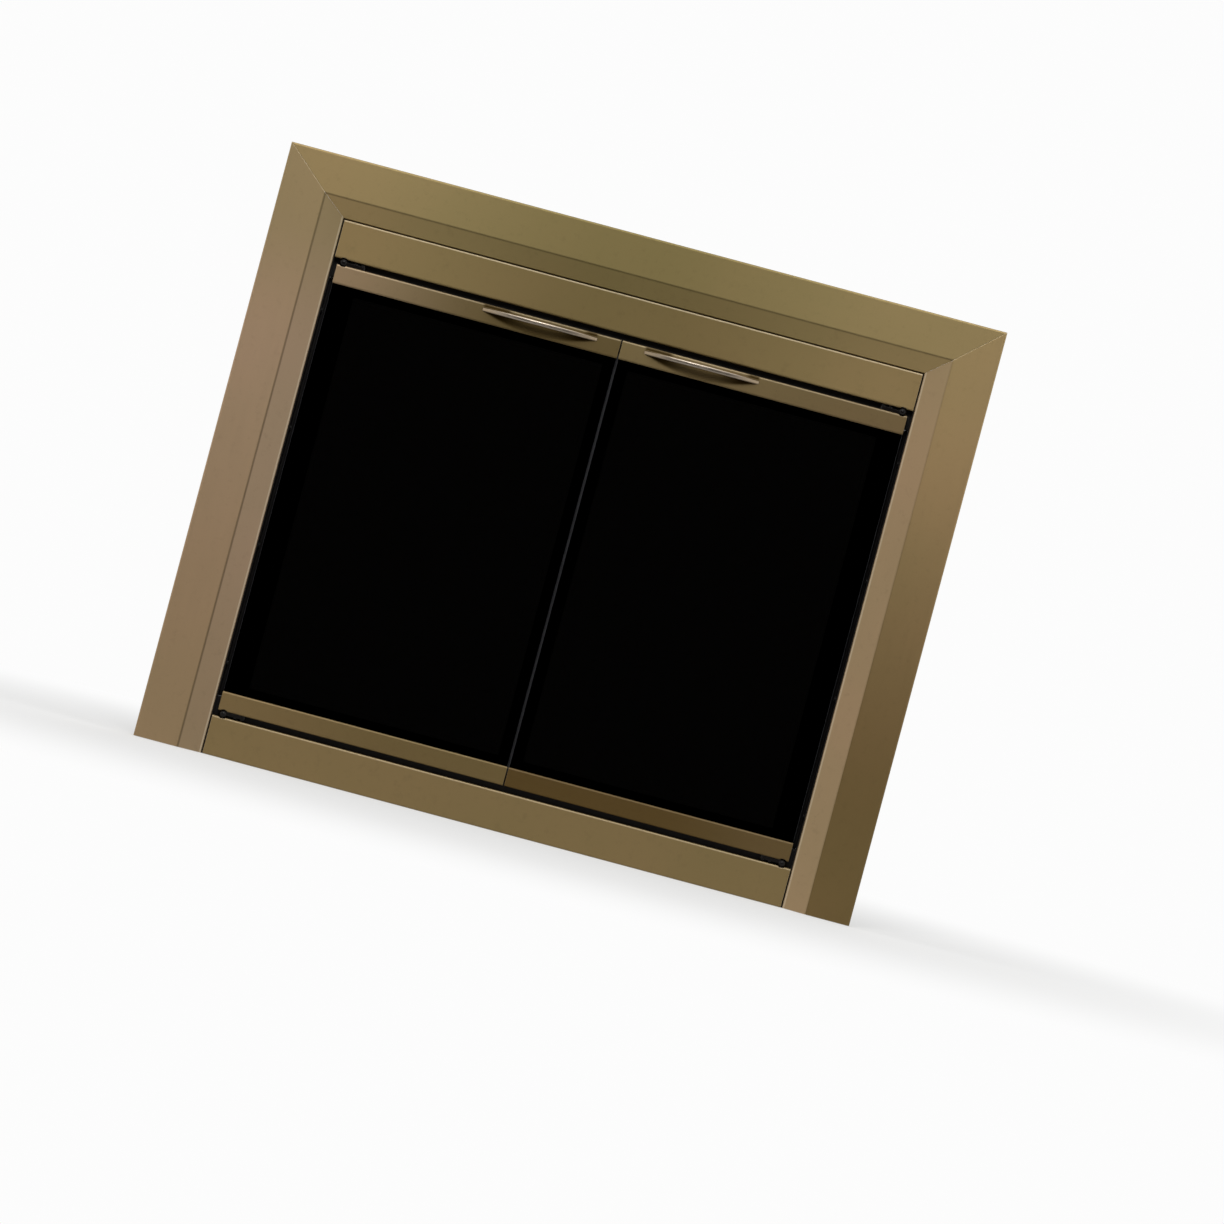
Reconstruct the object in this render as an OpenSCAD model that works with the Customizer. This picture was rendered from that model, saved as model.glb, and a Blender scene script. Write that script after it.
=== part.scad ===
// Cabinet-style fireplace glass door, in millimetres.
// X runs to the right, Y runs back into the fireplace, Z runs up.
// The origin is on the hearth, at the middle of the plane of the wall that the surround lies on.
// The doors stand at negative Y, and everything at positive Y is inside the firebox.

/* [Surround] */
// Overall width of the surround
frame_w = 1025; // [960:1:1150]
// Overall height, from the hearth to the top of the header
frame_h = 850; // [780:1:950]
// Depth, from the wall to the flat front band
frame_d = 44; // [42:0.5:50]
// Width of the flat band on each stile
stile_band = 63; // [55:0.5:80]
// Width of the flat band on the header
header_band = 56.5; // [50:0.5:75]
// Width of the bevel on each stile
stile_bevel = 33; // [25:0.5:40]
// Width of the bevel on the header
header_bevel = 26.9; // [20:0.1:40]
// Distance from the wall to the faces of the rails and doors, where the bevel ends
rail_d = 30; // [28:0.5:32]
// Thickness of the surround's sheet
surround_t = 1.5; // [1.2:0.1:1.8]
// Width of the lip that lies on the wall
wall_lip = 20; // [17:0.5:24]
// Gap left in each mitre
mitre_gap = 0.05; // [0.05:0.05:0.6]
// Distance from the wall to the back edge of the surround's inner return
return_d = 4; // [3:0.5:5]

/* [Corner keys] */
// Length of each leg of a corner key
key_len = 90; // [60:1:110]
// Thickness of a corner key
key_t = 3; // [2:0.5:5]

/* [Fixed rails] */
// Height of the lintel rail
lintel_h = 53.6; // [50:0.2:70]
// Height of the sill rail
sill_h = 55.2; // [52:0.2:70]
// Gap between the lintel rail and the header
rail_gap = 1.2; // [0.8:0.1:2]
// Gap between the ends of the fixed rails and the stiles
rail_end_gap = 1.8; // [1:0.1:3]
// Height of the dark slots above and below the doors
slot_h = 8.6; // [8:0.1:10]
// Thickness of the rails' sheet
rail_t = 1.2; // [1:0.1:1.5]
// Depth of the turned edge at the rails' free ends
rail_edge = 10; // [7:0.5:13]
// Height of the flange that fixes a rail to the channel behind it
rail_flange = 19.2; // [18:0.2:20]

/* [Carrying frame] */
// Thickness of the channels' and jambs' sheet
channel_t = 1.5; // [1.2:0.1:2]
// Gap between the backs of the doors and the channels
channel_gap = 4.5; // [4:0.1:5]
// How far the channels reach past the fixed rails, behind the doors
channel_reach = 27.8; // [26:0.2:32]
// Height of the turned lip at the back of each channel
channel_lip = 23; // [15:0.5:26]
// How far the sill channel's foot reaches behind the wall plane
sill_foot = 14; // [10:0.5:20]
// Distance from the wall to the front edge of the jambs
jamb_d = 26; // [20:0.5:27]
// Width of the jamb web that backs the gate
jamb_web = 32.5; // [28:0.5:36]
// Number of screws in each jamb
jamb_screws_n = 4; // [2:1:6]
// Thickness of the inner corner angles
angle_t = 2; // [1.5:0.5:3]

/* [Doors] */
// Gap between a door's outer end and the surround
door_side_gap = 7.5; // [6.5:0.1:10]
// Gap between the two doors
door_gap = 2; // [1.6:0.1:4]
// Height of the door rails
door_rail_h = 27; // [24:0.5:36]
// Thickness of a door, over its rails
door_t = 12; // [11:0.5:12]
// Thickness of the glass
glass_t = 5; // [4:0.5:6]
// How far the glass reaches into each door rail
glass_grip = 12.5; // [10:0.5:13]
// How far the glass edge stays inside the rails' ends
glass_inset = 0.3; // [0.1:0.1:1]

/* [Pivots and hinges] */
// Distance from a door's outer end to its pivot
pivot_inset = 8; // [7.5:0.1:10]
// Radius of the domed hinge knuckle
knuckle_r = 6.3; // [6:0.1:6.5]
// Half height of the knuckle between its flats
knuckle_half = 5.9; // [5.6:0.1:6]
// Length of the hinge arm, from the pivot
arm_len = 32; // [26:1:45]
// Width of the hinge arm
arm_w = 9; // [7:0.5:10]
// Thickness of the hinge arm
arm_t = 5; // [4:0.1:5]
// Radius of the door pivot pins
pin_r = 2.5; // [2:0.1:3]
// Running clearance of the pins in their bushes
pin_clear = 0.05; // [0.02:0.01:0.1]

/* [Handles] */
// Length of a bow handle
handle_len = 165; // [120:1:180]
// How far a bow handle stands out
handle_out = 24; // [18:0.5:32]
// Thickness of the bow across its curve
handle_bow_t = 11; // [6:0.5:12]
// Height of the bow
handle_h = 6; // [5:0.2:8]
// Distance from the middle of the doors to a handle's near end
handle_start = 33.5; // [30:0.5:60]
// Distance from the top of the door to the middle of the handle
handle_drop = 8.6; // [8:0.2:9.4]

/* [Mesh gates] */
// Width of the gate frame bars
gate_bar = 17; // [14:0.5:22]
// Thickness of the gate frame bars
gate_t = 5; // [4.8:0.1:5.5]
// Gap between the two gates
gate_gap = 1.8; // [1:0.1:4]
// Gap between the seals on the meeting edges of the gates
gate_seal_gap = 0.05; // [0.05:0.05:0.5]
// Distance from the jamb leg to a gate's outer edge
gate_side_gap = 22; // [20:0.5:26]
// Distance from a gate's outer edge to its pivot
gate_pivot_inset = 4; // [3.5:0.1:4.5]
// Gap between the gates and the channels above and below
gate_end_gap = 2.6; // [2:0.1:4]
// Thickness of the woven mesh
mesh_t = 0.5; // [0.4:0.1:0.8]
// Thickness of the frame that holds the mesh
retainer_t = 1; // [0.8:0.1:1.2]

/* [Draft control] */
// Length of an air slot
vent_len = 28; // [20:1:28]
// Height of an air slot
vent_h = 9; // [6:0.5:11]
// Distance from slot to slot
vent_pitch = 60; // [60:1:66]
// Number of air slots on each side of the tab
vents_a_side = 5; // [2:1:5]
// Thickness of the sliding plate
slide_t = 1.2; // [1:0.1:1.5]
// Travel of the sliding plate
slide_travel = 30; // [28:1:32]

/* [Fixing to the fireplace] */
// Distance of the lintel clamps from the middle
clamp_x = 250; // [150:1:300]
// How far a clamp arm reaches behind the wall plane
clamp_reach = 85; // [70:1:120]
// Thickness of the masonry lintel that the clamp plate closes on
lintel_wall = 45; // [30:1:50]
// Distance of the floor brackets from the middle
foot_x = 240; // [200:1:270]
// How far a floor bracket reaches behind the wall plane
foot_reach = 60; // [50:1:90]
// Distance from the wall plane to the anchor hole
anchor_y = 42; // [36:1:45]
// Radius of the anchor hole
anchor_r = 3.5; // [3:0.1:4.5]

/* [Hidden] */
$fn = 48;

// Cuts run past the faces that they open by this much
cut = 1;
// Steps in the arc of each sheet bend
bend_steps = 4;
// Inside radius of the sheet bends
bend_in = 0.9;
// Gap of a piece that is held but isn't pressed
seat = 0.3;
// Clearance of a pressed or threaded shank in its hole
snug = 0.02;

// Opening inside the surround
inner_x = frame_w / 2 - stile_band - stile_bevel;
inner_z = frame_h - header_band - header_bevel;

// Fixed rails, slots and doors, from the top down
lintel_top = inner_z - rail_gap;
lintel_bottom = lintel_top - lintel_h;
door_top = lintel_bottom - slot_h;
door_bottom = sill_h + slot_h;
mid_z = (door_top + door_bottom) / 2;
rail_x = inner_x - rail_end_gap;

// Channels and jambs
channel_d = rail_d - door_t - channel_gap;
channel_x = inner_x - channel_t;
head_bottom = lintel_bottom - channel_reach;
sill_top = sill_h + channel_reach;
web_x = inner_x - jamb_web;

// Doors: outer end, inner end, pivot, and depths from the wall
door_x = inner_x - door_side_gap;
door_in_x = door_gap / 2;
door_back = rail_d - door_t;
pivot_x = door_x - pivot_inset;
pivot_d = rail_d - door_t / 2;
glass_front = pivot_d + glass_t / 2;
glass_back = pivot_d - glass_t / 2;
glass_top = door_top - door_rail_h + glass_grip;
glass_bottom = door_bottom + door_rail_h - glass_grip;
rail_nose = 2.2;
end_cap_t = 1;
glass_slot_gap = 0.25;

// Knuckles, arms, pivot brackets and bushes at the top of the doors
knuckle_z = door_top + slot_h / 2;
relief_r = knuckle_r + 0.35;
bush_wall = 0.8;
bush_r = pin_r + bush_wall;
bush_collar = 1.2;
bush_flange_r = bush_r + bush_collar;
bush_flange_t = 1.2;
bush_z = knuckle_z + knuckle_half + seat;
bracket_t = 3;
bracket_w = 20;
bracket_h = 25;
bracket_z = bush_z + bush_flange_t;
pin_proud = 3;
pin_top = bracket_z + bracket_t + pin_proud;
// Heights of a bracket's screws, as shares of its own height
bracket_screw_rises = [0.45, 0.8];
// The rails' flanges end this far from the brackets
flange_gap = 11;
flange_x = pivot_x - bracket_w / 2 - flange_gap;

// Screws: shank radius, head radius and head height
screw_r = 2;
screw_head_r = 3.5;
screw_head_h = 2;
small_r = 1.6;
small_head_r = 3;
small_head_h = 1.8;
// Length of a screw past the sheets that it joins
screw_proud = 3;
small_proud = 2;
// Length of the drills that open the screw holes
drill_len = 12;
small_drill_len = 8;
// Driver slot: its width as a share of the head's radius, and its depth as a share of the head
slot_w_share = 0.24;
slot_depth_share = 0.5;
key_screw_r = 2.5;
key_head_r = 4.5;
key_head_h = 2;
key_screw_proud = 2;

// Corner keys
key_clear = 1;
key_w = wall_lip - surround_t - 2 * key_clear;
key_x = -frame_w / 2 + surround_t + key_clear;
key_z = frame_h - surround_t - key_clear;
// Places of the screws, as shares of a leg's length
key_screw_shares = [0.45, 0.85];
// The cuts of the mitre run past the surround by this share of a band
mitre_run = 0.2;

// Places of the screws in the carrying frame
jamb_screw_y = -8;
jamb_screw_margin = 130;
flange_screw_inset = 5;
rail_screw_pitch = 120;
rail_screw_end = 40;
angle_gap = 1;
angle_z = inner_z - channel_t - angle_gap;
angle_h = 20;
angle_leg = 18;
angle_screw_x = 11.7;
angle_head_gap = 0.25;
angle_side_leg = angle_t + 2 * (screw_head_r + angle_head_gap);

// Handles
handle_half = handle_len / 2;
handle_x = -(handle_start + handle_half);
handle_z = door_top - handle_drop;
bow_r = (handle_half * handle_half + handle_out * handle_out) / (2 * handle_out);
// The bow is swept past the rail's face by this many degrees at each end, and cut off flush
bow_spare = 4;
bow_sweep = 2 * (asin(handle_half / bow_r) + bow_spare);
bow_edge_r = 1.8;
bow_depth = bow_r - handle_out;
bow_in = sqrt(pow(bow_r - handle_bow_t, 2) - bow_depth * bow_depth);
handle_screw_inset = 1.5;
handle_screw_x = (handle_half + bow_in) / 2 - handle_screw_inset;
handle_thread = 4;

// Magnetic catches and strikes
catch_x = 22;
catch_w = 30;
catch_h = 11;
catch_z = door_top - 16;
strike_t = 0.8;
catch_gap = 0.2;
catch_screw_x = 10.2;
catch_screw_in = 2.5;
catch_screw_end_gap = 0.1;
// Steel tongues of the magnet, shown as two grooves in the catch's face
groove_x = 7.2;
groove_w = 1;
groove_margin = 2;

// Gates
gate_out_x = channel_x - gate_side_gap;
gate_in_x = gate_gap / 2;
gate_bottom = sill_top + gate_end_gap;
gate_top = head_bottom - gate_end_gap;
gate_pivot_x = gate_out_x - gate_pivot_inset;
gate_d = 7.5;
gate_front = gate_d + gate_t / 2;
gate_back = gate_d - gate_t / 2;
gate_pin_r = 2;
gate_pin_in = 12;
gate_collar_r = 3.6;
gate_pin_proud = 2;
mesh_lap = 7;
retainer_inset = 3;
// The seal of a gate is narrower than its bar by this much on each face
gate_seal_inset = 0.3;
// Gap between the ends of a seal and the channels above and below
gate_seal_end_gap = 0.1;
pull_x = gate_in_x + gate_bar / 2;
pull_r = 5;
pull_neck_r = 2;
pull_neck = 2;
pull_t = 2.4;
pull_in = 3;

// Draft control
vent_rise = 15.3;
vent_z = sill_h + vent_rise;
slide_gap = 0.2;
slide_drop = 7.2;
slide_bottom = sill_h - slide_drop;
slide_top_gap = 3;
slide_top = sill_top - slide_top_gap;
slide_front = channel_d - channel_t - slide_gap;
slide_back = slide_front - slide_t;
slide_margin = 26;
vents_half = vents_a_side * vent_pitch + vent_len / 2;
tab_r = 4;
tab_door_gap = 1;
tab_front = door_back - tab_door_gap;
tab_rivet_proud = 1;
tab_slot_gap = 0.3;
guide_drop = 2.2;
guide_z = sill_h - guide_drop;
guide_r = 2;
guide_x = 200;
guide_head_r = 4.5;
guide_head_t = 1;
guide_gap = 0.2;

// Lintel clamps and floor brackets
strap_t = 3;
strap_w = 30;
clamp_front = -channel_d + channel_t + bend_in;
clamp_screw_x = 8;
clamp_screw_y = -8;
clamp_plate_h = 40;
clamp_foot = 30;
clamp_slot_start = 18;
clamp_slot_end = 8;
clamp_bolt_y = lintel_wall + clamp_foot / 2;
bolt_r = 3;
bolt_gap = 0.2;
bolt_head_r = 5.5;
bolt_head_h = 4;
nut_r = 6;
nut_h = 6;
wing_len = 14;
wing_t = 2.5;
wing_h = 9;
wing_tip = 5;
wing_root = 1;
bolt_proud = 6;
foot_leg_h = 34;
foot_screw_x = 8;
foot_screw_z = 22;
foot_notch_gap = 0.5;

// Insulation packed behind the bands
pack_gap = 2.5;
pack_bottom = 5;

// Seals of the glass: gap at the glass edge, and the blocks that carry it, as shares of a door
seal_edge = 1;
seat_block_w = 40;
seat_block_shares = [0.25, 0.75];

// Screws of a hinge arm, from the middle of its round end
hinge_screw_pitch = 10;

// ---- Folded sheets -------------------------------------------------------------------------

// Unit vector, and the vector a quarter turn to its left
function unit(v) = v / norm(v);
function left_of(v) = [-v[1], v[0]];
function turned(v, a) = [v[0] * cos(a) - v[1] * sin(a), v[0] * sin(a) + v[1] * cos(a)];

// Line p moved d to its left, with sharp corners
function shifted(p, d) = [
  for (i = [0 : len(p) - 1])
    let (before = left_of(unit(i > 0 ? p[i] - p[i - 1] : p[1] - p[0])))
    let (after = left_of(unit(i < len(p) - 1 ? p[i + 1] - p[i] : p[i] - p[i - 1])))
    p[i] + d * (before + after) / (1 + before * after)
];

// Arc that rounds the corner b of the line a, b, c: radius r_left where it turns left
function bend(a, b, c, r_left, r_right) =
  let (u = unit(b - a))
  let (v = unit(c - b))
  let (turn = atan2(u[0] * v[1] - u[1] * v[0], u * v))
  let (r = turn > 0 ? r_left : r_right)
  let (start = b - u * r * tan(abs(turn) / 2))
  let (centre = start + left_of(u) * r * sign(turn))
  [for (k = [0 : bend_steps]) centre + turned(start - centre, turn * k / bend_steps)];

// Line p with its corners rounded
function rounded(p, r_left, r_right) = [
  p[0],
  for (i = [1 : len(p) - 2]) each bend(p[i - 1], p[i], p[i + 1], r_left, r_right),
  p[len(p) - 1]
];

function reversed(p) = [for (i = [len(p) - 1 : -1 : 0]) p[i]];

// Face line of a sheet of thickness t that lies to the left of path p
function outer_face(p, t) = rounded(p, bend_in + t, bend_in);
function sheet_outline(p, t) =
  concat(outer_face(p, t), reversed(rounded(shifted(p, t), bend_in, bend_in + t)));

// Outline in the Y-Z plane, run along X
module along_x(x0, x1) {
  translate([x0, 0, 0])
    rotate([90, 0, 90])
      linear_extrude(x1 - x0)
        children();
}

// Outline in the X-Z plane, run along Y
module along_y(y0, y1) {
  translate([0, y1, 0])
    rotate([90, 0, 0])
      linear_extrude(y1 - y0)
        children();
}

// Outline in the X-Y plane, run along Z
module along_z(z0, z1) {
  translate([0, 0, z0])
    linear_extrude(z1 - z0)
      children();
}

// Block between two corners
module block(x, y, z) {
  translate([x[0], y[0], z[0]])
    cube([x[1] - x[0], y[1] - y[0], z[1] - z[0]]);
}

// Rods along each axis, from one end to the other
module rod_x(x0, x1, y, z, r) {
  translate([x0, y, z])
    rotate([0, 90, 0])
      cylinder(r = r, h = x1 - x0);
}

module rod_y(x, y0, y1, z, r) {
  translate([x, y1, z])
    rotate([90, 0, 0])
      cylinder(r = r, h = y1 - y0);
}

module rod_z(x, y, z0, z1, r) {
  translate([x, y, z0])
    cylinder(r = r, h = z1 - z0);
}

// Copies: to the right, to both sides, and to the lower end of the doors
module to_right() {
  mirror([1, 0, 0])
    children();
}

module both_sides() {
  children();
  to_right()
    children();
}

module to_bottom() {
  translate([0, 0, 2 * mid_z])
    mirror([0, 0, 1])
      children();
}

module both_ends() {
  children();
  to_bottom()
    children();
}

// Pan-head screw: its head stands on z = 0 and its shank points down
module pan_screw(r, length, head_r, head_h) {
  difference() {
    union() {
      translate([0, 0, -length])
        cylinder(r = r, h = length);
      cylinder(r = head_r, h = head_h);
    }
    translate([-head_r - cut, -head_r * slot_w_share / 2, head_h * (1 - slot_depth_share)])
      cube([2 * (head_r + cut), head_r * slot_w_share, head_h]);
  }
}

// Screw through sheets of this thickness in all
module frame_screw(grip) {
  pan_screw(screw_r, grip + screw_proud, screw_head_r, screw_head_h);
}

// ---- Surround ------------------------------------------------------------------------------

// Corners of the left mitre, seen from the front: outside, bend line and opening
outer_corner = [-frame_w / 2, frame_h];
bend_corner = [-frame_w / 2 + stile_band, frame_h - header_band];
opening_corner = [-inner_x, inner_z];
outer_far = outer_corner + (outer_corner - bend_corner) * mitre_run;
opening_far = opening_corner + (opening_corner - bend_corner) * mitre_run;

function flipped(p) = [-p[0], p[1]];

stile_path = [
  [-frame_w / 2 + wall_lip, 0],
  [-frame_w / 2, 0],
  [-frame_w / 2, -frame_d],
  [-frame_w / 2 + stile_band, -frame_d],
  [-inner_x, -rail_d],
  [-inner_x, -return_d]
];

header_path = [
  [0, frame_h - wall_lip],
  [0, frame_h],
  [-frame_d, frame_h],
  [-frame_d, frame_h - header_band],
  [-rail_d, inner_z],
  [-return_d, inner_z]
];

stile_zone = [
  outer_far,
  bend_corner,
  opening_corner,
  opening_far,
  [opening_far[0], -cut],
  [outer_far[0], -cut]
];

header_zone = [
  outer_far,
  bend_corner,
  opening_corner,
  opening_far,
  flipped(opening_far),
  flipped(opening_corner),
  flipped(bend_corner),
  flipped(outer_far)
];

module stile() {
  color("#86734f")
    difference() {
      intersection() {
        along_z(0, frame_h)
          polygon(sheet_outline(stile_path, surround_t));
        translate([-mitre_gap, 0, -mitre_gap])
          along_y(-frame_d - cut, cut)
            polygon(stile_zone);
      }
      key_screw_places()
        key_screw(snug);
      jamb_screw_places()
        screw_hole();
      angle_screw_places()
        screw_hole();
    }
}

module surround_top() {
  color("#7d6b48")
    difference() {
      intersection() {
        along_x(-frame_w / 2, frame_w / 2)
          polygon(sheet_outline(header_path, surround_t));
        along_y(-frame_d - cut, cut)
          polygon(header_zone);
      }
      both_sides() {
        key_screw_places()
          key_screw(snug);
        clamp_screw_places()
          screw_hole();
      }
    }
}

// Left corner key: a flat angle that lies on the wall lips of a stile and the header
module corner_key() {
  difference() {
    along_y(-surround_t - key_t, -surround_t)
      polygon([
        [key_x, key_z - key_len],
        [key_x, key_z],
        [key_x + key_len, key_z],
        [key_x + key_len, key_z - key_w],
        [key_x + key_w, key_z - key_w],
        [key_x + key_w, key_z - key_len]
      ]);
    key_screw_places()
      key_screw(snug);
  }
}

module key_screw_places() {
  for (along = key_screw_shares) {
    translate([key_x + key_w / 2, 0, key_z - key_len * along])
      children();
    translate([key_x + key_len * along, 0, key_z - key_w / 2])
      children();
  }
}

// Countersunk screw, flush with the wall plane
module key_screw(grow = 0) {
  rotate([90, 0, 0]) {
    cylinder(r1 = key_head_r + grow, r2 = key_screw_r + grow, h = key_head_h);
    cylinder(r = key_screw_r + grow, h = surround_t + key_t + key_screw_proud);
  }
}

module corner_keys() {
  color("#3a3a3a")
    both_sides()
      corner_key();
}

module corner_key_screws() {
  color("#8c8c8c")
    both_sides()
      key_screw_places()
        key_screw();
}

// ---- Fixed rails ---------------------------------------------------------------------------

lintel_path = [
  [-rail_d + rail_edge, lintel_top],
  [-rail_d, lintel_top],
  [-rail_d, lintel_bottom],
  [-channel_d, lintel_bottom],
  [-channel_d, lintel_bottom + rail_flange]
];

sill_path = [
  [-channel_d, sill_h - rail_flange],
  [-channel_d, sill_h],
  [-rail_d, sill_h],
  [-rail_d, 0],
  [-rail_d + rail_edge, 0]
];

// Screw hole through thin sheet, along the shank of a frame screw
module screw_hole() {
  translate([0, 0, -drill_len])
    cylinder(r = screw_r + snug, h = drill_len + cut);
}

// Round relief for a top knuckle, cut from front to back
module knuckle_relief() {
  rod_y(-pivot_x, -rail_d - cut, -channel_d - cut, knuckle_z, relief_r);
}

// Screws through the flange of a fixed rail, from behind the channel
module rail_screw_places() {
  for (x = [rail_screw_pitch / 2 : rail_screw_pitch : flange_x - rail_screw_end])
    translate([-x, -channel_d + channel_t, lintel_bottom + rail_flange - flange_screw_inset])
      rotate([-90, 0, 0])
        children();
}

// The flange stops short of the pivot brackets
module flange_ends() {
  both_sides()
    block([-inner_x, -flange_x], [-channel_d - rail_t - bend_in, cut], [-cut, frame_h]);
}

module lintel_rail() {
  color("#84744f")
    difference() {
      along_x(-rail_x, rail_x)
        polygon(sheet_outline(lintel_path, rail_t));
      flange_ends();
      both_sides() {
        knuckle_relief();
        rail_screw_places()
          screw_hole();
      }
    }
}

module sill_rail() {
  color("#84744f")
    difference() {
      along_x(-rail_x, rail_x)
        polygon(sheet_outline(sill_path, rail_t));
      flange_ends();
      both_sides()
        to_bottom() {
          knuckle_relief();
          rail_screw_places()
            screw_hole();
        }
    }
}

// ---- Carrying frame ------------------------------------------------------------------------

head_path = [
  [0, inner_z],
  [-channel_d, inner_z],
  [-channel_d, head_bottom],
  [0, head_bottom],
  [0, head_bottom + channel_lip]
];

sill_channel_path = [
  [0, sill_top - channel_lip],
  [0, sill_top],
  [-channel_d, sill_top],
  [-channel_d, 0],
  [sill_foot, 0]
];

jamb_path = [
  [-web_x, 0],
  [-inner_x, 0],
  [-inner_x, -jamb_d]
];

module bracket_screw_places() {
  for (rise = bracket_screw_rises)
    translate([-pivot_x, -channel_d + channel_t, bracket_z + bracket_h * rise])
      rotate([-90, 0, 0])
        children();
}

// One screw of each inner corner angle goes into the channel, the other into the jamb
module angle_wall_screw_places() {
  translate([-channel_x + angle_screw_x, -channel_d + channel_t + angle_t, angle_z - angle_h / 2])
    rotate([-90, 0, 0])
      children();
}

module angle_screw_places() {
  screw_y = -channel_d + channel_t + angle_t + screw_head_r + angle_head_gap;
  both_ends()
    translate([-channel_x + angle_t, screw_y, angle_z - angle_h / 2])
      rotate([0, 90, 0])
        children();
}

module jamb_screw_places() {
  step = (inner_z - 2 * jamb_screw_margin) / (jamb_screws_n - 1);
  for (i = [0 : jamb_screws_n - 1])
    translate([-channel_x, jamb_screw_y, jamb_screw_margin + i * step])
      rotate([0, 90, 0])
        children();
}

// Screws that hold a clamp arm and the head channel to the header's return
module clamp_screw_places() {
  for (side = [-1, 1])
    translate([-clamp_x + side * clamp_screw_x, clamp_screw_y, inner_z - channel_t - strap_t])
      rotate([180, 0, 0])
        children();
}

module foot_screw_places() {
  for (side = [-1, 1])
    translate([-foot_x + side * foot_screw_x, -channel_d + channel_t + strap_t, foot_screw_z])
      rotate([-90, 0, 0])
        children();
}

module gate_pin_hole() {
  rod_z(-gate_pivot_x, -gate_d, head_bottom - cut, head_bottom + channel_t + cut,
        gate_pin_r + pin_clear);
}

module head_channel() {
  color("#1d1c1b")
    difference() {
      along_x(-channel_x, channel_x)
        polygon(sheet_outline(head_path, channel_t));
      both_sides() {
        gate_pin_hole();
        rail_screw_places()
          screw_hole();
        bracket_screw_places()
          screw_hole();
        angle_wall_screw_places()
          screw_hole();
        clamp_screw_places()
          screw_hole();
        catch_screw_places()
          small_screw_hole();
      }
    }
}

module vent_slot(x) {
  block([x - vent_len / 2, x + vent_len / 2], [-channel_d - cut, -slide_back + cut],
        [vent_z - vent_h / 2, vent_z + vent_h / 2]);
}

module vent_row(shift) {
  for (side = [-1, 1])
    for (i = [1 : vents_a_side])
      vent_slot(side * i * vent_pitch + shift);
}

module sill_channel() {
  color("#1d1c1b")
    difference() {
      along_x(-channel_x, channel_x)
        polygon(sheet_outline(sill_channel_path, channel_t));
      vent_row(0);
      block([-slide_travel / 2 - tab_r - tab_slot_gap, slide_travel / 2 + tab_r + tab_slot_gap],
            [-channel_d - cut, -channel_d + channel_t + cut],
            [vent_z - tab_r - tab_slot_gap, vent_z + tab_r + tab_slot_gap]);
      both_sides() {
        block([-foot_x - strap_w / 2 - foot_notch_gap, -foot_x + strap_w / 2 + foot_notch_gap],
              [-channel_d + channel_t, sill_foot + cut], [-cut, strap_t + cut]);
        foot_screw_places()
          screw_hole();
        to_bottom() {
          gate_pin_hole();
          rail_screw_places()
            screw_hole();
          bracket_screw_places()
            screw_hole();
          angle_wall_screw_places()
            screw_hole();
        }
      }
    }
}

module jamb() {
  color("#1b1917")
    difference() {
      along_z(0, inner_z)
        polygon(sheet_outline(jamb_path, channel_t));
      for (z = [[-cut, sill_top + snug], [head_bottom - snug, inner_z + cut]])
        block([-channel_x - snug, -web_x + cut], [-channel_t - bend_in, cut], z);
      jamb_screw_places()
        screw_hole();
      angle_screw_places()
        screw_hole();
    }
}

// Left upper angle that joins the head channel to the jamb
module corner_angle() {
  wall_y = -channel_d + channel_t;
  difference() {
    along_z(angle_z - angle_h, angle_z)
      polygon([
        [-channel_x, wall_y],
        [-channel_x + angle_leg, wall_y],
        [-channel_x + angle_leg, wall_y + angle_t],
        [-channel_x + angle_t, wall_y + angle_t],
        [-channel_x + angle_t, wall_y + angle_side_leg],
        [-channel_x, wall_y + angle_side_leg]
      ]);
    angle_wall_screw_places()
      screw_hole();
    angle_screw_places()
      screw_hole();
  }
}

module inner_corner_angles() {
  color("#262524")
    both_sides()
      both_ends()
        corner_angle();
}

module jamb_screws() {
  color("#2b2b2b")
    both_sides() {
      jamb_screw_places()
        frame_screw(channel_t + surround_t);
      angle_screw_places()
        frame_screw(angle_t + channel_t + surround_t);
    }
}

module frame_screws() {
  color("#2b2b2b")
    both_sides() {
      both_ends() {
        rail_screw_places()
          frame_screw(channel_t + rail_t);
        bracket_screw_places()
          frame_screw(channel_t + bracket_t);
        angle_wall_screw_places()
          frame_screw(angle_t + channel_t);
      }
      clamp_screw_places()
        frame_screw(strap_t + channel_t + surround_t);
      foot_screw_places()
        frame_screw(strap_t + channel_t);
    }
}

// ---- Pivots --------------------------------------------------------------------------------

// Left upper pivot bracket: an angle on the head channel that holds the bush over the knuckle
module pivot_bracket() {
  difference() {
    union() {
      block([-pivot_x - bracket_w / 2, -pivot_x + bracket_w / 2],
            [-rail_d + rail_t + seat, -channel_d], [bracket_z, bracket_z + bracket_t]);
      block([-pivot_x - bracket_w / 2, -pivot_x + bracket_w / 2],
            [-channel_d - bracket_t, -channel_d], [bracket_z, bracket_z + bracket_h]);
    }
    rod_z(-pivot_x, -pivot_d, bracket_z - cut, bracket_z + bracket_t + cut, bush_r + snug);
    bracket_screw_places()
      screw_hole();
  }
}

module pivot_brackets() {
  color("#242322")
    both_sides()
      both_ends()
        pivot_bracket();
}

module pivot_bush() {
  difference() {
    union() {
      rod_z(-pivot_x, -pivot_d, bush_z, bracket_z, bush_flange_r);
      rod_z(-pivot_x, -pivot_d, bush_z, bracket_z + bracket_t, bush_r);
    }
    rod_z(-pivot_x, -pivot_d, bush_z - cut, bracket_z + bracket_t + cut, pin_r + pin_clear);
  }
}

module pivot_bushes() {
  color("#9a7b45")
    both_sides()
      both_ends()
        pivot_bush();
}

// ---- Magnetic catches ----------------------------------------------------------------------

module small_screw(length) {
  pan_screw(small_r, length, small_head_r, small_head_h);
}

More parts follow.
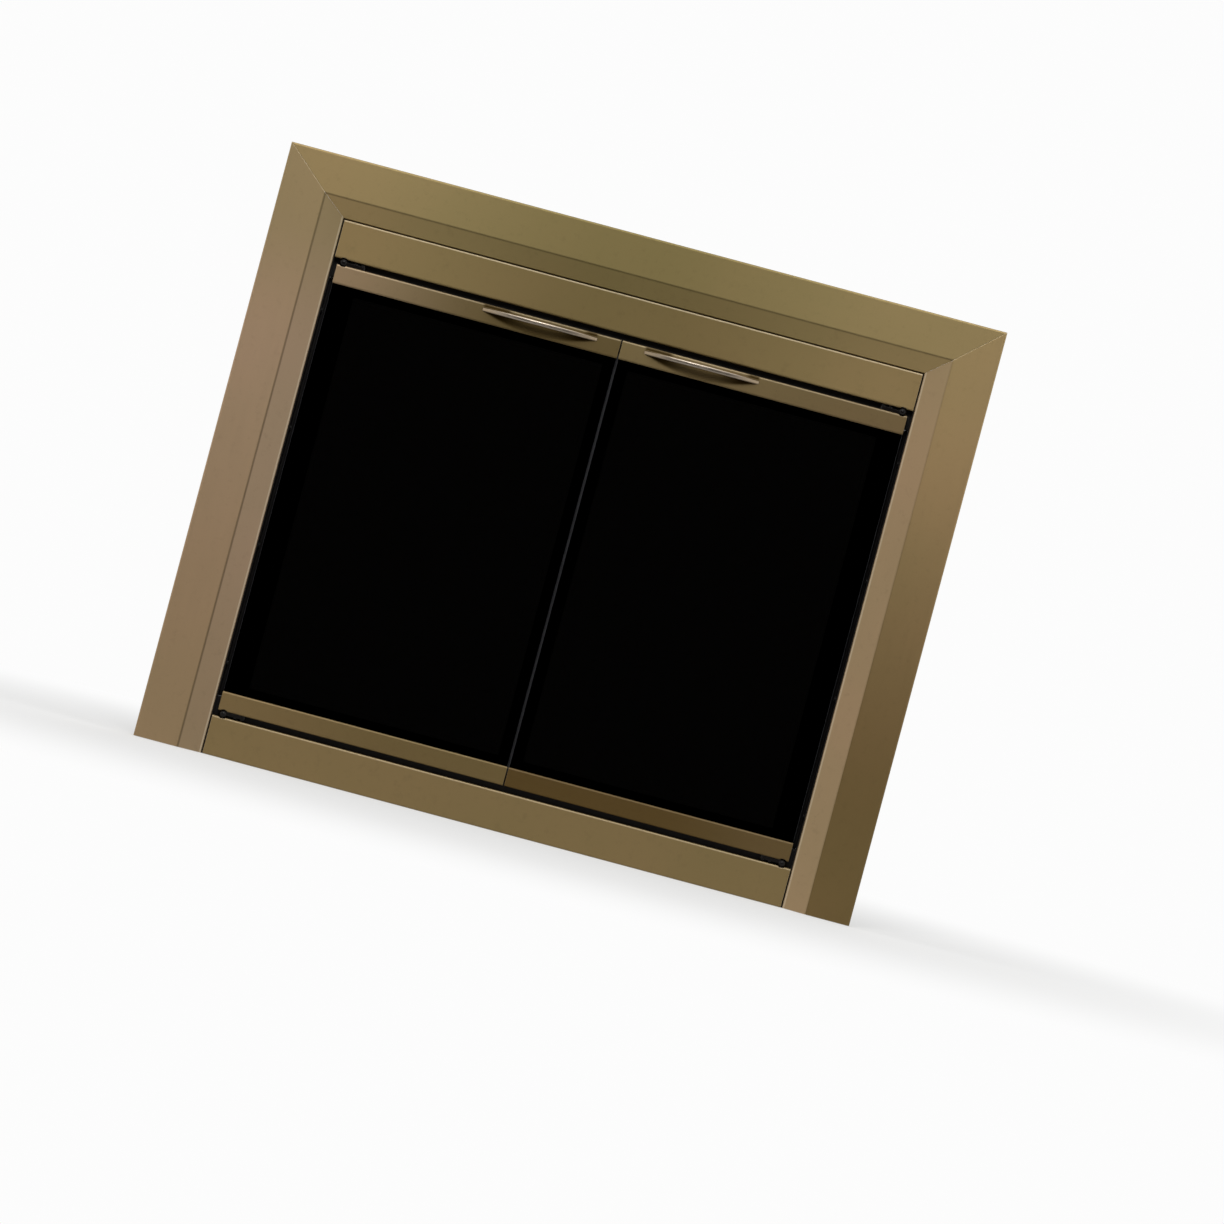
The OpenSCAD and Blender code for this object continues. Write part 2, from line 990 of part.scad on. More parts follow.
module small_screw_hole() {
  translate([0, 0, -small_drill_len])
    cylinder(r = small_r + snug, h = small_drill_len + cut);
}

module catch_screw_places() {
  for (side = [-1, 1])
    translate([-catch_x + side * catch_screw_x, -channel_d + channel_t, catch_z + catch_h / 2])
      rotate([-90, 0, 0])
        children();
}

// Each catch stands on the head channel and stops just short of the strike on the door
module magnetic_catch() {
  catch_front = -door_back + strike_t + catch_gap;
  drill = channel_t + catch_screw_in + catch_screw_end_gap;
  difference() {
    block([-catch_x - catch_w / 2, -catch_x + catch_w / 2], [catch_front, -channel_d],
          [catch_z, catch_z + catch_h]);
    for (side = [-1, 1])
      block([-catch_x + side * groove_x - groove_w / 2, -catch_x + side * groove_x + groove_w / 2],
            [catch_front - cut, catch_front + groove_w],
            [catch_z + groove_margin, catch_z + catch_h - groove_margin]);
    catch_screw_places()
      translate([0, 0, -drill])
        cylinder(r = small_r + snug, h = drill + cut);
  }
}

module catch_screw() {
  small_screw(channel_t + catch_screw_in);
}

module magnetic_catches() {
  color("#4a4038")
    both_sides() {
      magnetic_catch();
      catch_screw_places()
        catch_screw();
    }
}

// ---- Draft control -------------------------------------------------------------------------

module guide_pin(x) {
  wall_y = -channel_d + channel_t;
  head_y = -slide_back + guide_gap;
  rod_y(x, wall_y, head_y, guide_z, guide_r);
  rod_y(x, head_y, head_y + guide_head_t, guide_z, guide_head_r);
}

module slide_guide_pins() {
  color("#8c8c8c")
    for (x = [-guide_x, 0, guide_x])
      guide_pin(x);
}

module draft_slide() {
  slot_r = guide_r + guide_gap;
  color("#33302c")
    difference() {
      block([-vents_half - slide_margin, vents_half - slide_travel + slide_margin],
            [-slide_front, -slide_back], [slide_bottom, slide_top]);
      vent_row(-slide_travel);
      for (x = [-guide_x, 0, guide_x])
        block([x - slide_travel - slot_r, x + slot_r], [-slide_front - cut, -slide_back + cut],
              [guide_z - slot_r, guide_z + slot_r]);
      rod_y(-slide_travel / 2, -slide_front - cut, -slide_back + cut, vent_z, guide_r + snug);
    }
}

// Round tab that the hand moves, riveted through the sliding plate
module draft_tab() {
  color("#2a2827") {
    rod_y(-slide_travel / 2, -tab_front, -slide_front, vent_z, tab_r);
    rod_y(-slide_travel / 2, -slide_front, -slide_back + tab_rivet_proud, vent_z, guide_r);
  }
}

// ---- Fixing to the fireplace ---------------------------------------------------------------

module clamp_arm() {
  z0 = inner_z - channel_t - strap_t;
  difference() {
    block([-clamp_x - strap_w / 2, -clamp_x + strap_w / 2], [clamp_front, clamp_reach],
          [z0, z0 + strap_t]);
    block([-clamp_x - bolt_r - bolt_gap, -clamp_x + bolt_r + bolt_gap],
          [clamp_slot_start, clamp_reach - clamp_slot_end], [z0 - cut, z0 + strap_t + cut]);
    clamp_screw_places()
      screw_hole();
  }
}

module lintel_clamp_arms() {
  color("#3b3a38")
    both_sides()
      clamp_arm();
}

// Angle that stands up behind the masonry lintel
module clamp_plate() {
  z0 = inner_z - channel_t;
  difference() {
    along_x(-clamp_x - strap_w / 2, -clamp_x + strap_w / 2)
      polygon([
        [lintel_wall, z0],
        [lintel_wall + clamp_foot, z0],
        [lintel_wall + clamp_foot, z0 + strap_t],
        [lintel_wall + strap_t, z0 + strap_t],
        [lintel_wall + strap_t, z0 + clamp_plate_h],
        [lintel_wall, z0 + clamp_plate_h]
      ]);
    rod_z(-clamp_x, clamp_bolt_y, z0 - cut, z0 + strap_t + cut, bolt_r + bolt_gap);
  }
}

module lintel_clamp_plates() {
  color("#3b3a38")
    both_sides()
      clamp_plate();
}

module clamp_bolt() {
  head_z = inner_z - channel_t + strap_t;
  translate([-clamp_x, clamp_bolt_y, head_z])
    cylinder(r = bolt_head_r, h = bolt_head_h, $fn = 6);
  rod_z(-clamp_x, clamp_bolt_y, head_z - 2 * strap_t - nut_h - bolt_proud, head_z, bolt_r);
}

module lintel_clamp_bolts() {
  color("#8c8c8c")
    both_sides()
      clamp_bolt();
}

module wing_nut() {
  top = inner_z - channel_t - strap_t;
  difference() {
    union() {
      rod_z(-clamp_x, clamp_bolt_y, top - nut_h, top, nut_r);
      for (side = [-1, 1])
        translate([-clamp_x, clamp_bolt_y - wing_t / 2, 0])
          rotate([90, 0, 0])
            mirror([side > 0 ? 0 : 1, 0, 0])
              translate([0, 0, -wing_t])
                linear_extrude(wing_t)
                  polygon([
                    [nut_r - wing_root, top - wing_root],
                    [wing_len, top - wing_h],
                    [wing_len, top - wing_h - wing_tip],
                    [wing_len - wing_tip, top - wing_h - wing_tip],
                    [nut_r - wing_root, top - nut_h]
                  ]);
    }
    rod_z(-clamp_x, clamp_bolt_y, top - nut_h - cut, top + cut, bolt_r + snug);
  }
}

module lintel_clamp_wing_nuts() {
  color("#a09070")
    both_sides()
      wing_nut();
}

// Angle behind the sill channel, with a hole for a masonry anchor
module floor_bracket() {
  y0 = -channel_d + channel_t;
  difference() {
    along_x(-foot_x - strap_w / 2, -foot_x + strap_w / 2)
      polygon([
        [y0, 0],
        [foot_reach, 0],
        [foot_reach, strap_t],
        [y0 + strap_t, strap_t],
        [y0 + strap_t, foot_leg_h],
        [y0, foot_leg_h]
      ]);
    rod_z(-foot_x, anchor_y, -cut, strap_t + cut, anchor_r);
    foot_screw_places()
      screw_hole();
  }
}

module floor_brackets() {
  color("#3b3a38")
    both_sides()
      floor_bracket();
}

// Soft strips that fill the space behind the bands, between the lips and the bevels
module insulation_strips() {
  lip = wall_lip + pack_gap;
  color("#d8cfae") {
    both_sides()
      block([-frame_w / 2 + lip, -frame_w / 2 + stile_band - pack_gap],
            [-frame_d + surround_t, 0], [pack_bottom, frame_h - lip]);
    block([-frame_w / 2 + stile_band + pack_gap, frame_w / 2 - stile_band - pack_gap],
          [-frame_d + surround_t, 0],
          [frame_h - header_band + pack_gap, frame_h - lip]);
  }
}

// ---- Doors: each module makes the left one -------------------------------------------------

module glass() {
  color("#1a1613", 0.8)
    block([-door_x + glass_inset, -door_in_x - glass_inset], [-glass_front, -glass_back],
          [glass_bottom, glass_top]);
}

// Top rail of the door, a channel that is open below and grips the glass
door_rail_path = [
  [-door_back - rail_nose, door_top - door_rail_h],
  [-door_back, door_top - door_rail_h],
  [-door_back, door_top],
  [-rail_d, door_top],
  [-rail_d, door_top - door_rail_h],
  [-rail_d + rail_nose, door_top - door_rail_h]
];

module door_rail_body() {
  difference() {
    union() {
      along_x(-door_x, -door_in_x)
        polygon(sheet_outline(door_rail_path, rail_t));
      for (x = [-door_x, -door_in_x - end_cap_t])
        along_x(x, x + end_cap_t)
          polygon(outer_face(door_rail_path, rail_t));
    }
    block([-door_x - cut, -door_in_x + cut],
          [-glass_front - glass_slot_gap, -glass_back + glass_slot_gap],
          [door_top - door_rail_h - cut, glass_top + glass_slot_gap]);
    knuckle_relief();
    hinge_screw_places()
      small_screw_hole();
  }
}

module top_rail() {
  color("#80704b")
    difference() {
      door_rail_body();
      handle_screw_places()
        screw_hole();
    }
}

module bottom_rail() {
  color("#80704b")
    to_bottom()
      door_rail_body();
}

// Strips on both faces of the glass in each rail, and the blocks that carry its lower edge
module seal_pair() {
  z0 = door_top - door_rail_h + rail_t + bend_in;
  for (y = [[-rail_d + rail_t, -glass_front], [-glass_back, -door_back - rail_t]])
    block([-door_x + end_cap_t + seat, -door_in_x - end_cap_t - seat], y, [z0, glass_top - seal_edge]);
}

module glass_seals() {
  color("#35302b") {
    both_ends()
      seal_pair();
    for (share = seat_block_shares)
      block([-door_x * share - seat_block_w / 2, -door_x * share + seat_block_w / 2],
            [-glass_front, -glass_back], [door_bottom + rail_t, glass_bottom]);
  }
}

// Bow handle: part of a ring whose ends are cut off flush with the face of the rail
module bow_section() {
  union() {
    translate([bow_r - handle_bow_t + bow_edge_r, -handle_h / 2])
      square([handle_bow_t - 2 * bow_edge_r, handle_h]);
    translate([bow_r - handle_bow_t, -handle_h / 2 + bow_edge_r])
      square([handle_bow_t, handle_h - 2 * bow_edge_r]);
    for (x = [bow_r - handle_bow_t + bow_edge_r, bow_r - bow_edge_r])
      for (y = [-1, 1])
        translate([x, y * (handle_h / 2 - bow_edge_r)])
          circle(r = bow_edge_r);
  }
}

module handle() {
  color("#9a8358")
    difference() {
      translate([handle_x, -rail_d + bow_depth, handle_z])
        rotate([0, 0, -90 - bow_sweep / 2])
          rotate_extrude(angle = bow_sweep)
            bow_section();
      block([handle_x - handle_len, handle_x + handle_len], [-rail_d, -rail_d + handle_out],
            [handle_z - handle_h, handle_z + handle_h]);
      handle_screw_places()
        translate([0, 0, -rail_t - handle_thread - seat])
          cylinder(r = screw_r + snug, h = rail_t + handle_thread + cut);
    }
}

module handle_screw_places() {
  for (side = [-1, 1])
    translate([handle_x + side * handle_screw_x, -rail_d + rail_t, handle_z])
      rotate([-90, 0, 0])
        children();
}

module handle_screws() {
  color("#8c8c8c")
    handle_screw_places()
      pan_screw(screw_r, rail_t + handle_thread, screw_head_r, screw_head_h);
}

// Hinge arm that lies on the rail and ends in the domed knuckle
module hinge() {
  color("#1f1e1e")
    difference() {
      union() {
        translate([-pivot_x, -pivot_d, knuckle_z])
          rotate_extrude()
            intersection() {
              circle(r = knuckle_r);
              translate([0, -knuckle_half])
                square([knuckle_r, 2 * knuckle_half]);
            }
        block([-pivot_x, -pivot_x + arm_len - arm_w / 2], [-pivot_d - arm_w / 2, -pivot_d + arm_w / 2],
              [door_top, door_top + arm_t]);
        rod_z(-pivot_x + arm_len - arm_w / 2, -pivot_d, door_top, door_top + arm_t, arm_w / 2);
      }
      rod_z(-pivot_x, -pivot_d, knuckle_z - knuckle_half - cut, knuckle_z + knuckle_half + cut,
            pin_r + snug);
      hinge_screw_places()
        small_screw_hole();
    }
}

module hinge_screw_places() {
  for (back = [0, hinge_screw_pitch])
    translate([-pivot_x + arm_len - arm_w / 2 - back, -pivot_d, door_top + arm_t])
      children();
}

module hinge_screws() {
  color("#2b2b2b")
    both_ends()
      hinge_screw_places()
        small_screw(arm_t + rail_t + small_proud);
}

module pivot_pins() {
  color("#8c8c8c")
    both_ends()
      rod_z(-pivot_x, -pivot_d, knuckle_z - knuckle_half, pin_top, pin_r);
}

module strike() {
  color("#6d6a62")
    block([-catch_x - catch_w / 2, -catch_x + catch_w / 2], [-door_back, -door_back + strike_t],
          [catch_z, catch_z + catch_h]);
}

// ---- Mesh gates: each module makes the left one --------------------------------------------

module gate_window(y0, y1) {
  block([-gate_out_x + gate_bar, -gate_in_x - gate_bar], [y0, y1],
        [gate_bottom + gate_bar, gate_top - gate_bar]);
}

module gate_frame() {
  color("#1a1918")
    difference() {
      block([-gate_out_x, -gate_in_x], [-gate_front, -gate_back], [gate_bottom, gate_top]);
      gate_window(-gate_front - cut, -gate_back + cut);
      both_ends()
        rod_z(-gate_pivot_x, -gate_d, gate_top - gate_pin_in, gate_top + cut,
              gate_pin_r + snug);
      rod_y(-pull_x, -gate_front - cut, -gate_front + pull_in, mid_z, pull_neck_r + snug);
    }
}

module gate_mesh() {
  lap = gate_bar - mesh_lap;
  color("#2a2826")
    block([-gate_out_x + lap, -gate_in_x - lap], [-gate_back, -gate_back + mesh_t],
          [gate_bottom + lap, gate_top - lap]);
}

module gate_retainer() {
  y0 = -gate_back + mesh_t;
  color("#1a1918")
    difference() {
      block([-gate_out_x + retainer_inset, -gate_in_x - retainer_inset], [y0, y0 + retainer_t],
            [gate_bottom + retainer_inset, gate_top - retainer_inset]);
      gate_window(y0 - cut, y0 + retainer_t + cut);
    }
}

// Tape on the meeting edge, which closes the gaps to the other gate and to the channels
module gate_seal() {
  color("#35302b")
    block([-gate_in_x, -gate_seal_gap / 2],
          [-gate_front + gate_seal_inset, -gate_back - gate_seal_inset],
          [sill_top + gate_seal_end_gap, head_bottom - gate_seal_end_gap]);
}

// Pivot pins with the collars that carry the gate on the channel
module gate_pins() {
  color("#8c8c8c")
    both_ends() {
      rod_z(-gate_pivot_x, -gate_d, gate_top - gate_pin_in, head_bottom + channel_t + gate_pin_proud,
            gate_pin_r);
      rod_z(-gate_pivot_x, -gate_d, gate_top, head_bottom - seat, gate_collar_r);
    }
}

module gate_pull() {
  color("#1f1e1e") {
    rod_y(-pull_x, -gate_front - pull_neck, -gate_front + pull_in, mid_z, pull_neck_r);
    rod_y(-pull_x, -gate_front - pull_neck - pull_t, -gate_front - pull_neck, mid_z, pull_r);
  }
}

// ---- Nodes ---------------------------------------------------------------------------------

stile();  // surround_left
surround_top();
to_right() stile();  // surround_right
corner_keys();
corner_key_screws();
lintel_rail();
sill_rail();
head_channel();
sill_channel();
jamb();  // jamb_left
to_right() jamb();  // jamb_right
jamb_screws();
inner_corner_angles();
frame_screws();
pivot_brackets();
pivot_bushes();
magnetic_catches();
lintel_clamp_arms();
lintel_clamp_plates();
lintel_clamp_bolts();
lintel_clamp_wing_nuts();
floor_brackets();
insulation_strips();
slide_guide_pins();
draft_slide();
draft_tab();
glass();  // left_glass
top_rail();  // left_top_rail
bottom_rail();  // left_bottom_rail
glass_seals();  // left_glass_seals
handle();  // left_handle
handle_screws();  // left_handle_screws
hinge();  // left_top_hinge
to_bottom() hinge();  // left_bottom_hinge
hinge_screws();  // left_hinge_screws
pivot_pins();  // left_pivot_pins
strike();  // left_strike
to_right() glass();  // right_glass
to_right() top_rail();  // right_top_rail
to_right() bottom_rail();  // right_bottom_rail
to_right() glass_seals();  // right_glass_seals
to_right() handle();  // right_handle
to_right() handle_screws();  // right_handle_screws
to_right() hinge();  // right_top_hinge
to_right() to_bottom() hinge();  // right_bottom_hinge
to_right() hinge_screws();  // right_hinge_screws
to_right() pivot_pins();  // right_pivot_pins
to_right() strike();  // right_strike
gate_frame();  // left_gate_frame
gate_mesh();  // left_gate_mesh
gate_retainer();  // left_gate_retainer
gate_seal();  // left_gate_seal
gate_pins();  // left_gate_pins
gate_pull();  // left_gate_pull
to_right() gate_frame();  // right_gate_frame
to_right() gate_mesh();  // right_gate_mesh
to_right() gate_retainer();  // right_gate_retainer
to_right() gate_seal();  // right_gate_seal
to_right() gate_pins();  // right_gate_pins
to_right() gate_pull();  // right_gate_pull
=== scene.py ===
"""Looks of a cabinet-style fireplace door set: brass surround, smoked glass doors and mesh gates.

All sizes are in metres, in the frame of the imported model: X to the right, Y back into the
fireplace, Z up from the hearth. The doors stand on the -Y side of the wall plane.
"""

import logging
import math
from dataclasses import dataclass
from enum import Enum
from functools import cache, partial, reduce
from typing import ClassVar

import bmesh
import bpy
import numpy as np
from mathutils import Matrix, Vector, noise


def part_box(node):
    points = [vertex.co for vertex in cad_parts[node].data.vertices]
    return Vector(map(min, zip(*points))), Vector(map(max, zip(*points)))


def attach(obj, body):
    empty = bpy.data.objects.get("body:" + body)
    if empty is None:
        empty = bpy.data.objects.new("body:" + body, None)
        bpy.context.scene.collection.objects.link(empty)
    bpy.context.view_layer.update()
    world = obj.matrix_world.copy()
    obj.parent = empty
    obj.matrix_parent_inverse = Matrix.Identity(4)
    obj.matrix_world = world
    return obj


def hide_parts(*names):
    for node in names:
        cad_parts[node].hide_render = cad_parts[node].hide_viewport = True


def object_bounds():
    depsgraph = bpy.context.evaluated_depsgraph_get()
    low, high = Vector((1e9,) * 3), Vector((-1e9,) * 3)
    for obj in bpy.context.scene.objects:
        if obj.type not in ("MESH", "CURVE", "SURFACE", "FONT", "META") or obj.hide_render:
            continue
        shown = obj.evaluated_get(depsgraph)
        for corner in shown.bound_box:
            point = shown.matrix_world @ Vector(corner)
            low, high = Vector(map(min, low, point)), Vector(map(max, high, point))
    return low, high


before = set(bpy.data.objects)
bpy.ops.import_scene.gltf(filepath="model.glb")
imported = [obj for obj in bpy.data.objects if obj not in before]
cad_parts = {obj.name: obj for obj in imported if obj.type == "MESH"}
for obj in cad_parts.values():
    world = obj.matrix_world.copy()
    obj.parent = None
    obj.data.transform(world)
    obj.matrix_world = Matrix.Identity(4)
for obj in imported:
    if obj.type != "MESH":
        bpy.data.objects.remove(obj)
CAD_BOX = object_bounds()
NODES: dict[str, bpy.types.Object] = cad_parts

Colour = tuple[float, float, float]
Point = tuple[float, float, float]
Box = tuple[Vector, Vector]
Face = tuple[int, ...]
Inputs = dict[str, object]
Node = bpy.types.Node
Socket = bpy.types.NodeSocket
Material = bpy.types.Material
Mesh = bpy.types.Mesh
Tree = bpy.types.NodeTree
Outputs = bpy.types.NodeOutputs

PLAIN: Colour = (1.0, 1.0, 1.0)
SPECK_TONE: Colour = (0.035, 0.024, 0.011)
DUST_TONE: Colour = (0.085, 0.075, 0.062)

log = logging.getLogger("fireplace_door")


# ---- Node trees ----


class Graph:
    """A node tree with short ways to add nodes and to join their sockets.

    A value that goes into an input is another node's output, a number, or a colour or vector as a
    tuple.
    """

    def __init__(self, tree: Tree) -> None:
        """Wraps the tree that the nodes go into."""
        self.tree = tree

    def feed(self, socket: Socket, value: object) -> None:
        """Joins an input to an output, or sets it.

        Args:
            socket: the input.
            value: what goes into it.
        """
        if isinstance(value, Socket):
            self.tree.links.new(value, socket)
        elif socket.type == "RGBA" and len(value) == 3:
            socket.default_value = (*value, 1.0)
        else:
            socket.default_value = value

    def add(self, kind: str, *values: object, inputs: Inputs | None = None, **settings: object) -> Node:
        """Adds a node.

        Args:
            kind: Blender's name of the node type.
            *values: what goes into the inputs, from the first one on.
            inputs: what goes into the inputs, by their names.
            **settings: the node's own properties.

        Returns:
            The new node.
        """
        node = self.tree.nodes.new(kind)
        for name, value in settings.items():
            setattr(node, name, value)
        for socket, value in zip(node.inputs, values):
            self.feed(socket, value)
        for name, value in (inputs or {}).items():
            self.feed(node.inputs[name], value)
        return node

    def math(self, operation: str, *values: object, clamp: bool = False) -> Socket:
        """Returns the result of a Math node; clamp keeps it between 0 and 1."""
        node = self.add("ShaderNodeMath", *values, operation=operation, use_clamp=clamp)
        return node.outputs["Value"]

    def times(self, *factors: object) -> Socket:
        """Returns the product of its factors."""
        return reduce(partial(self.math, "MULTIPLY"), factors)

    def apart(self, first: object, second: object) -> Socket:
        """Returns how far two numbers are apart."""
        return self.math("ABSOLUTE", self.math("SUBTRACT", first, second))

    def split(self, vector: object) -> Outputs:
        """Returns the X, Y and Z of a vector, by name."""
        return self.add("ShaderNodeSeparateXYZ", vector).outputs

    def mix(self, factor: object, first: object, second: object, blend: str = "MIX") -> Socket:
        """Mixes two colours.

        Args:
            factor: share of the second colour.
            first: colour at factor 0.
            second: colour at factor 1.
            blend: Blender's name of the way to mix.

        Returns:
            The mixed colour.
        """
        node = self.add("ShaderNodeMix", data_type="RGBA", blend_type=blend)
        for index, value in ((0, factor), (6, first), (7, second)):
            self.feed(node.inputs[index], value)
        return node.outputs[2]

    def noise(self, vector: object, scale: object, detail: float = 2.0, roughness: float = 0.5) -> Socket:
        """Reads a noise texture.

        Args:
            vector: where it is read.
            scale: its scale, per metre.
            detail: number of octaves.
            roughness: weight of the finer octaves.

        Returns:
            The noise, from 0 to 1.
        """
        inputs = {"Vector": vector, "Scale": scale, "Detail": detail, "Roughness": roughness}
        return self.add("ShaderNodeTexNoise", inputs=inputs).outputs["Fac"]

    def spread(
        self, value: object, low: object, high: object, to_low: object = 0.0, to_high: object = 1.0,
    ) -> Socket:
        """Maps a value with a smooth step.

        Args:
            value: the value that is mapped.
            low: value that becomes to_low.
            high: value that becomes to_high.
            to_low: result at low.
            to_high: result at high.

        Returns:
            The mapped value.
        """
        ends = (value, low, high, to_low, to_high)
        return self.add("ShaderNodeMapRange", *ends, interpolation_type="SMOOTHSTEP").outputs["Result"]

    def place(self) -> Socket:
        """Returns the place on the piece at rest, which turns with its body."""
        return self.add("ShaderNodeTexCoord").outputs["Object"]

    def group(self, tree: Tree, **inputs: object) -> Outputs:
        """Places a shared effect.

        Args:
            tree: the effect's node group.
            **inputs: what goes into it; an underscore in a name stands for a space.

        Returns:
            The effect's outputs, by name.
        """
        by_name = {name.replace("_", " "): value for name, value in inputs.items()}
        return self.add("ShaderNodeGroup", inputs=by_name, node_tree=tree).outputs


class Port(Enum):
    """Kinds of socket that a shared effect has."""

    NUMBER = "NodeSocketFloat"
    COLOUR = "NodeSocketColor"
    VECTOR = "NodeSocketVector"


class Effect:
    """A node group under construction, with named inputs and outputs."""

    def __init__(self, name: str, inputs: dict[str, Port], outputs: dict[str, Port]) -> None:
        """Makes the empty group.

        Args:
            name: the group's name.
            inputs: kind of each input, by name.
            outputs: kind of each output, by name.
        """
        self.tree = bpy.data.node_groups.new(name, "ShaderNodeTree")
        for ports, way in ((inputs, "INPUT"), (outputs, "OUTPUT")):
            for port_name, port in ports.items():
                self.tree.interface.new_socket(port_name, in_out=way, socket_type=port.value)
        self.graph = Graph(self.tree)
        self.inputs = self.graph.add("NodeGroupInput").outputs
        self.results = self.graph.add("NodeGroupOutput").inputs

    def give(self, name: str, socket: Socket) -> None:
        """Joins a socket to the output of that name."""
        self.graph.feed(self.results[name], socket)


@cache
def edge_wear() -> Tree:
    """Builds the effect that finds the outer edges of a piece, with breaks in it.

    Returns:
        A group: Vector, Radius and Breakup give Mask, 1 on an edge, and Normal, rounded there.
    """
    effect = Effect(
        "Edge wear",
        {"Vector": Port.VECTOR, "Radius": Port.NUMBER, "Breakup": Port.NUMBER},
        {"Mask": Port.NUMBER, "Normal": Port.VECTOR},
    )
    graph = effect.graph
    bevel = graph.add("ShaderNodeBevel", effect.inputs["Radius"], samples=6)
    surface = graph.add("ShaderNodeNewGeometry")
    normals = (bevel.outputs["Normal"], surface.outputs["Normal"])
    cosine = graph.add("ShaderNodeVectorMath", *normals, operation="DOT_PRODUCT").outputs["Value"]
    grain = graph.noise(effect.inputs["Vector"], 260.0, 4.0, 0.6)
    breaks = graph.times(graph.spread(grain, 0.42, 0.62), effect.inputs["Breakup"])
    whole = graph.math("SUBTRACT", 1.0, breaks)
    effect.give("Mask", graph.times(graph.spread(cosine, 0.99, 0.80), whole))
    effect.give("Normal", bevel.outputs["Normal"])
    return effect.tree


@cache
def brushed_grain() -> Tree:
    """Builds the fine scratches of a brushed face.

    Returns:
        A group: Vector and Stretch, the noise scale along each axis, give Value from 0 to 1.
    """
    ports = {"Vector": Port.VECTOR, "Stretch": Port.VECTOR}
    effect = Effect("Brushed grain", ports, {"Value": Port.NUMBER})
    graph = effect.graph
    factors = (effect.inputs["Vector"], effect.inputs["Stretch"])
    stretched = graph.add("ShaderNodeVectorMath", *factors, operation="MULTIPLY").outputs["Vector"]
    effect.give("Value", graph.noise(stretched, 1.0, 5.0, 0.65))
    return effect.tree


@cache
def patina() -> Tree:
    """Builds the slow change of tone of an antiqued metal.

    Returns:
        A group: Vector, Scale, Warm, Cool and Specks give Color.
    """
    effect = Effect(
        "Patina",
        {"Vector": Port.VECTOR, "Scale": Port.NUMBER, "Warm": Port.COLOUR, "Cool": Port.COLOUR,
         "Specks": Port.NUMBER},
        {"Color": Port.COLOUR},
    )
    graph = effect.graph
    where = effect.inputs["Vector"]
    cloud = graph.spread(graph.noise(where, effect.inputs["Scale"], 3.0, 0.5), 0.36, 0.66)
    tone = graph.mix(cloud, effect.inputs["Warm"], effect.inputs["Cool"])
    fine = graph.noise(where, 90.0, 5.0, 0.7)
    speck = graph.times(graph.spread(fine, 0.52, 0.74), effect.inputs["Specks"])
    effect.give("Color", graph.mix(speck, tone, SPECK_TONE))
    return effect.tree


@cache
def crease() -> Tree:
    """Builds a thin dark line along a bend.

    Returns:
        A group: Coordinate, Place and Width give Mask, 1 on the line, and Side, 1 below Place.
    """
    effect = Effect(
        "Crease",
        {"Coordinate": Port.NUMBER, "Place": Port.NUMBER, "Width": Port.NUMBER},
        {"Mask": Port.NUMBER, "Side": Port.NUMBER},
    )
    graph = effect.graph
    away = graph.math("SUBTRACT", effect.inputs["Coordinate"], effect.inputs["Place"])
    share = graph.math("DIVIDE", graph.math("ABSOLUTE", away), effect.inputs["Width"])
    effect.give("Mask", graph.spread(share, 1.0, 0.15))
    effect.give("Side", graph.math("LESS_THAN", away, 0.0))
    return effect.tree


@cache
def drift() -> Tree:
    """Builds painted light and shade: a slow change of tone along a member.

    Returns:
        A group: Coordinate, Start, End, From Tone, To Tone and Color give Color.
    """
    effect = Effect(
        "PaintedLightDrift",
        {"Coordinate": Port.NUMBER, "Start": Port.NUMBER, "End": Port.NUMBER, "From Tone": Port.COLOUR,
         "To Tone": Port.COLOUR, "Color": Port.COLOUR},
        {"Color": Port.COLOUR},
    )
    graph, inputs = effect.graph, effect.inputs
    share = graph.spread(inputs["Coordinate"], inputs["Start"], inputs["End"])
    tone = graph.mix(share, inputs["From Tone"], inputs["To Tone"])
    effect.give("Color", graph.mix(1.0, inputs["Color"], tone, "MULTIPLY"))
    return effect.tree


@cache
def painted_handle_shadow() -> Tree:
    """Builds painted shadow in the corners between a bow handle and its rail.

    Returns:
        A group: Along and Height, from the handle's middle, give Mask: a crescent of painted shadow below
        the bar, and a thin line of painted shade above each of its ends, longer at the left one.
    """
    effect = Effect("Painted handle shadow", {"Along": Port.NUMBER, "Height": Port.NUMBER}, {"Mask": Port.NUMBER})
    foot, under_bar, tips = (-0.0190, -0.0145), (-0.0005, -0.0030), (0.082, 0.074)
    curve, spread_out, middle_shade, tip_shade = 2.4, (0.020, 0.064), 0.46, 0.97
    line_height, line_edge, line_end, line_shade = 0.0058, (0.0024, 0.0014), (0.084, 0.079), 0.85
    line_start, longer_left, line_rise = 0.060, -0.022, 0.010
    graph, height = effect.graph, effect.inputs["Height"]
    along = graph.math("ABSOLUTE", effect.inputs["Along"])
    at_left = graph.math("LESS_THAN", effect.inputs["Along"], 0.0)
    rise = graph.times(graph.math("POWER", along, 2.0), curve)
    crescent = graph.times(
        graph.spread(graph.math("SUBTRACT", height, rise), *foot),
        graph.spread(height, *under_bar),
        graph.spread(along, *tips),
        graph.spread(along, *spread_out, middle_shade, tip_shade),
    )
    start = graph.math("MULTIPLY_ADD", at_left, longer_left, line_start)
    line = graph.times(
        graph.spread(graph.apart(height, line_height), *line_edge),
        graph.spread(along, start, graph.math("ADD", start, line_rise)),
        graph.spread(along, *line_end),
        line_shade,
    )
    effect.give("Mask", graph.math("MAXIMUM", crescent, line))
    return effect.tree


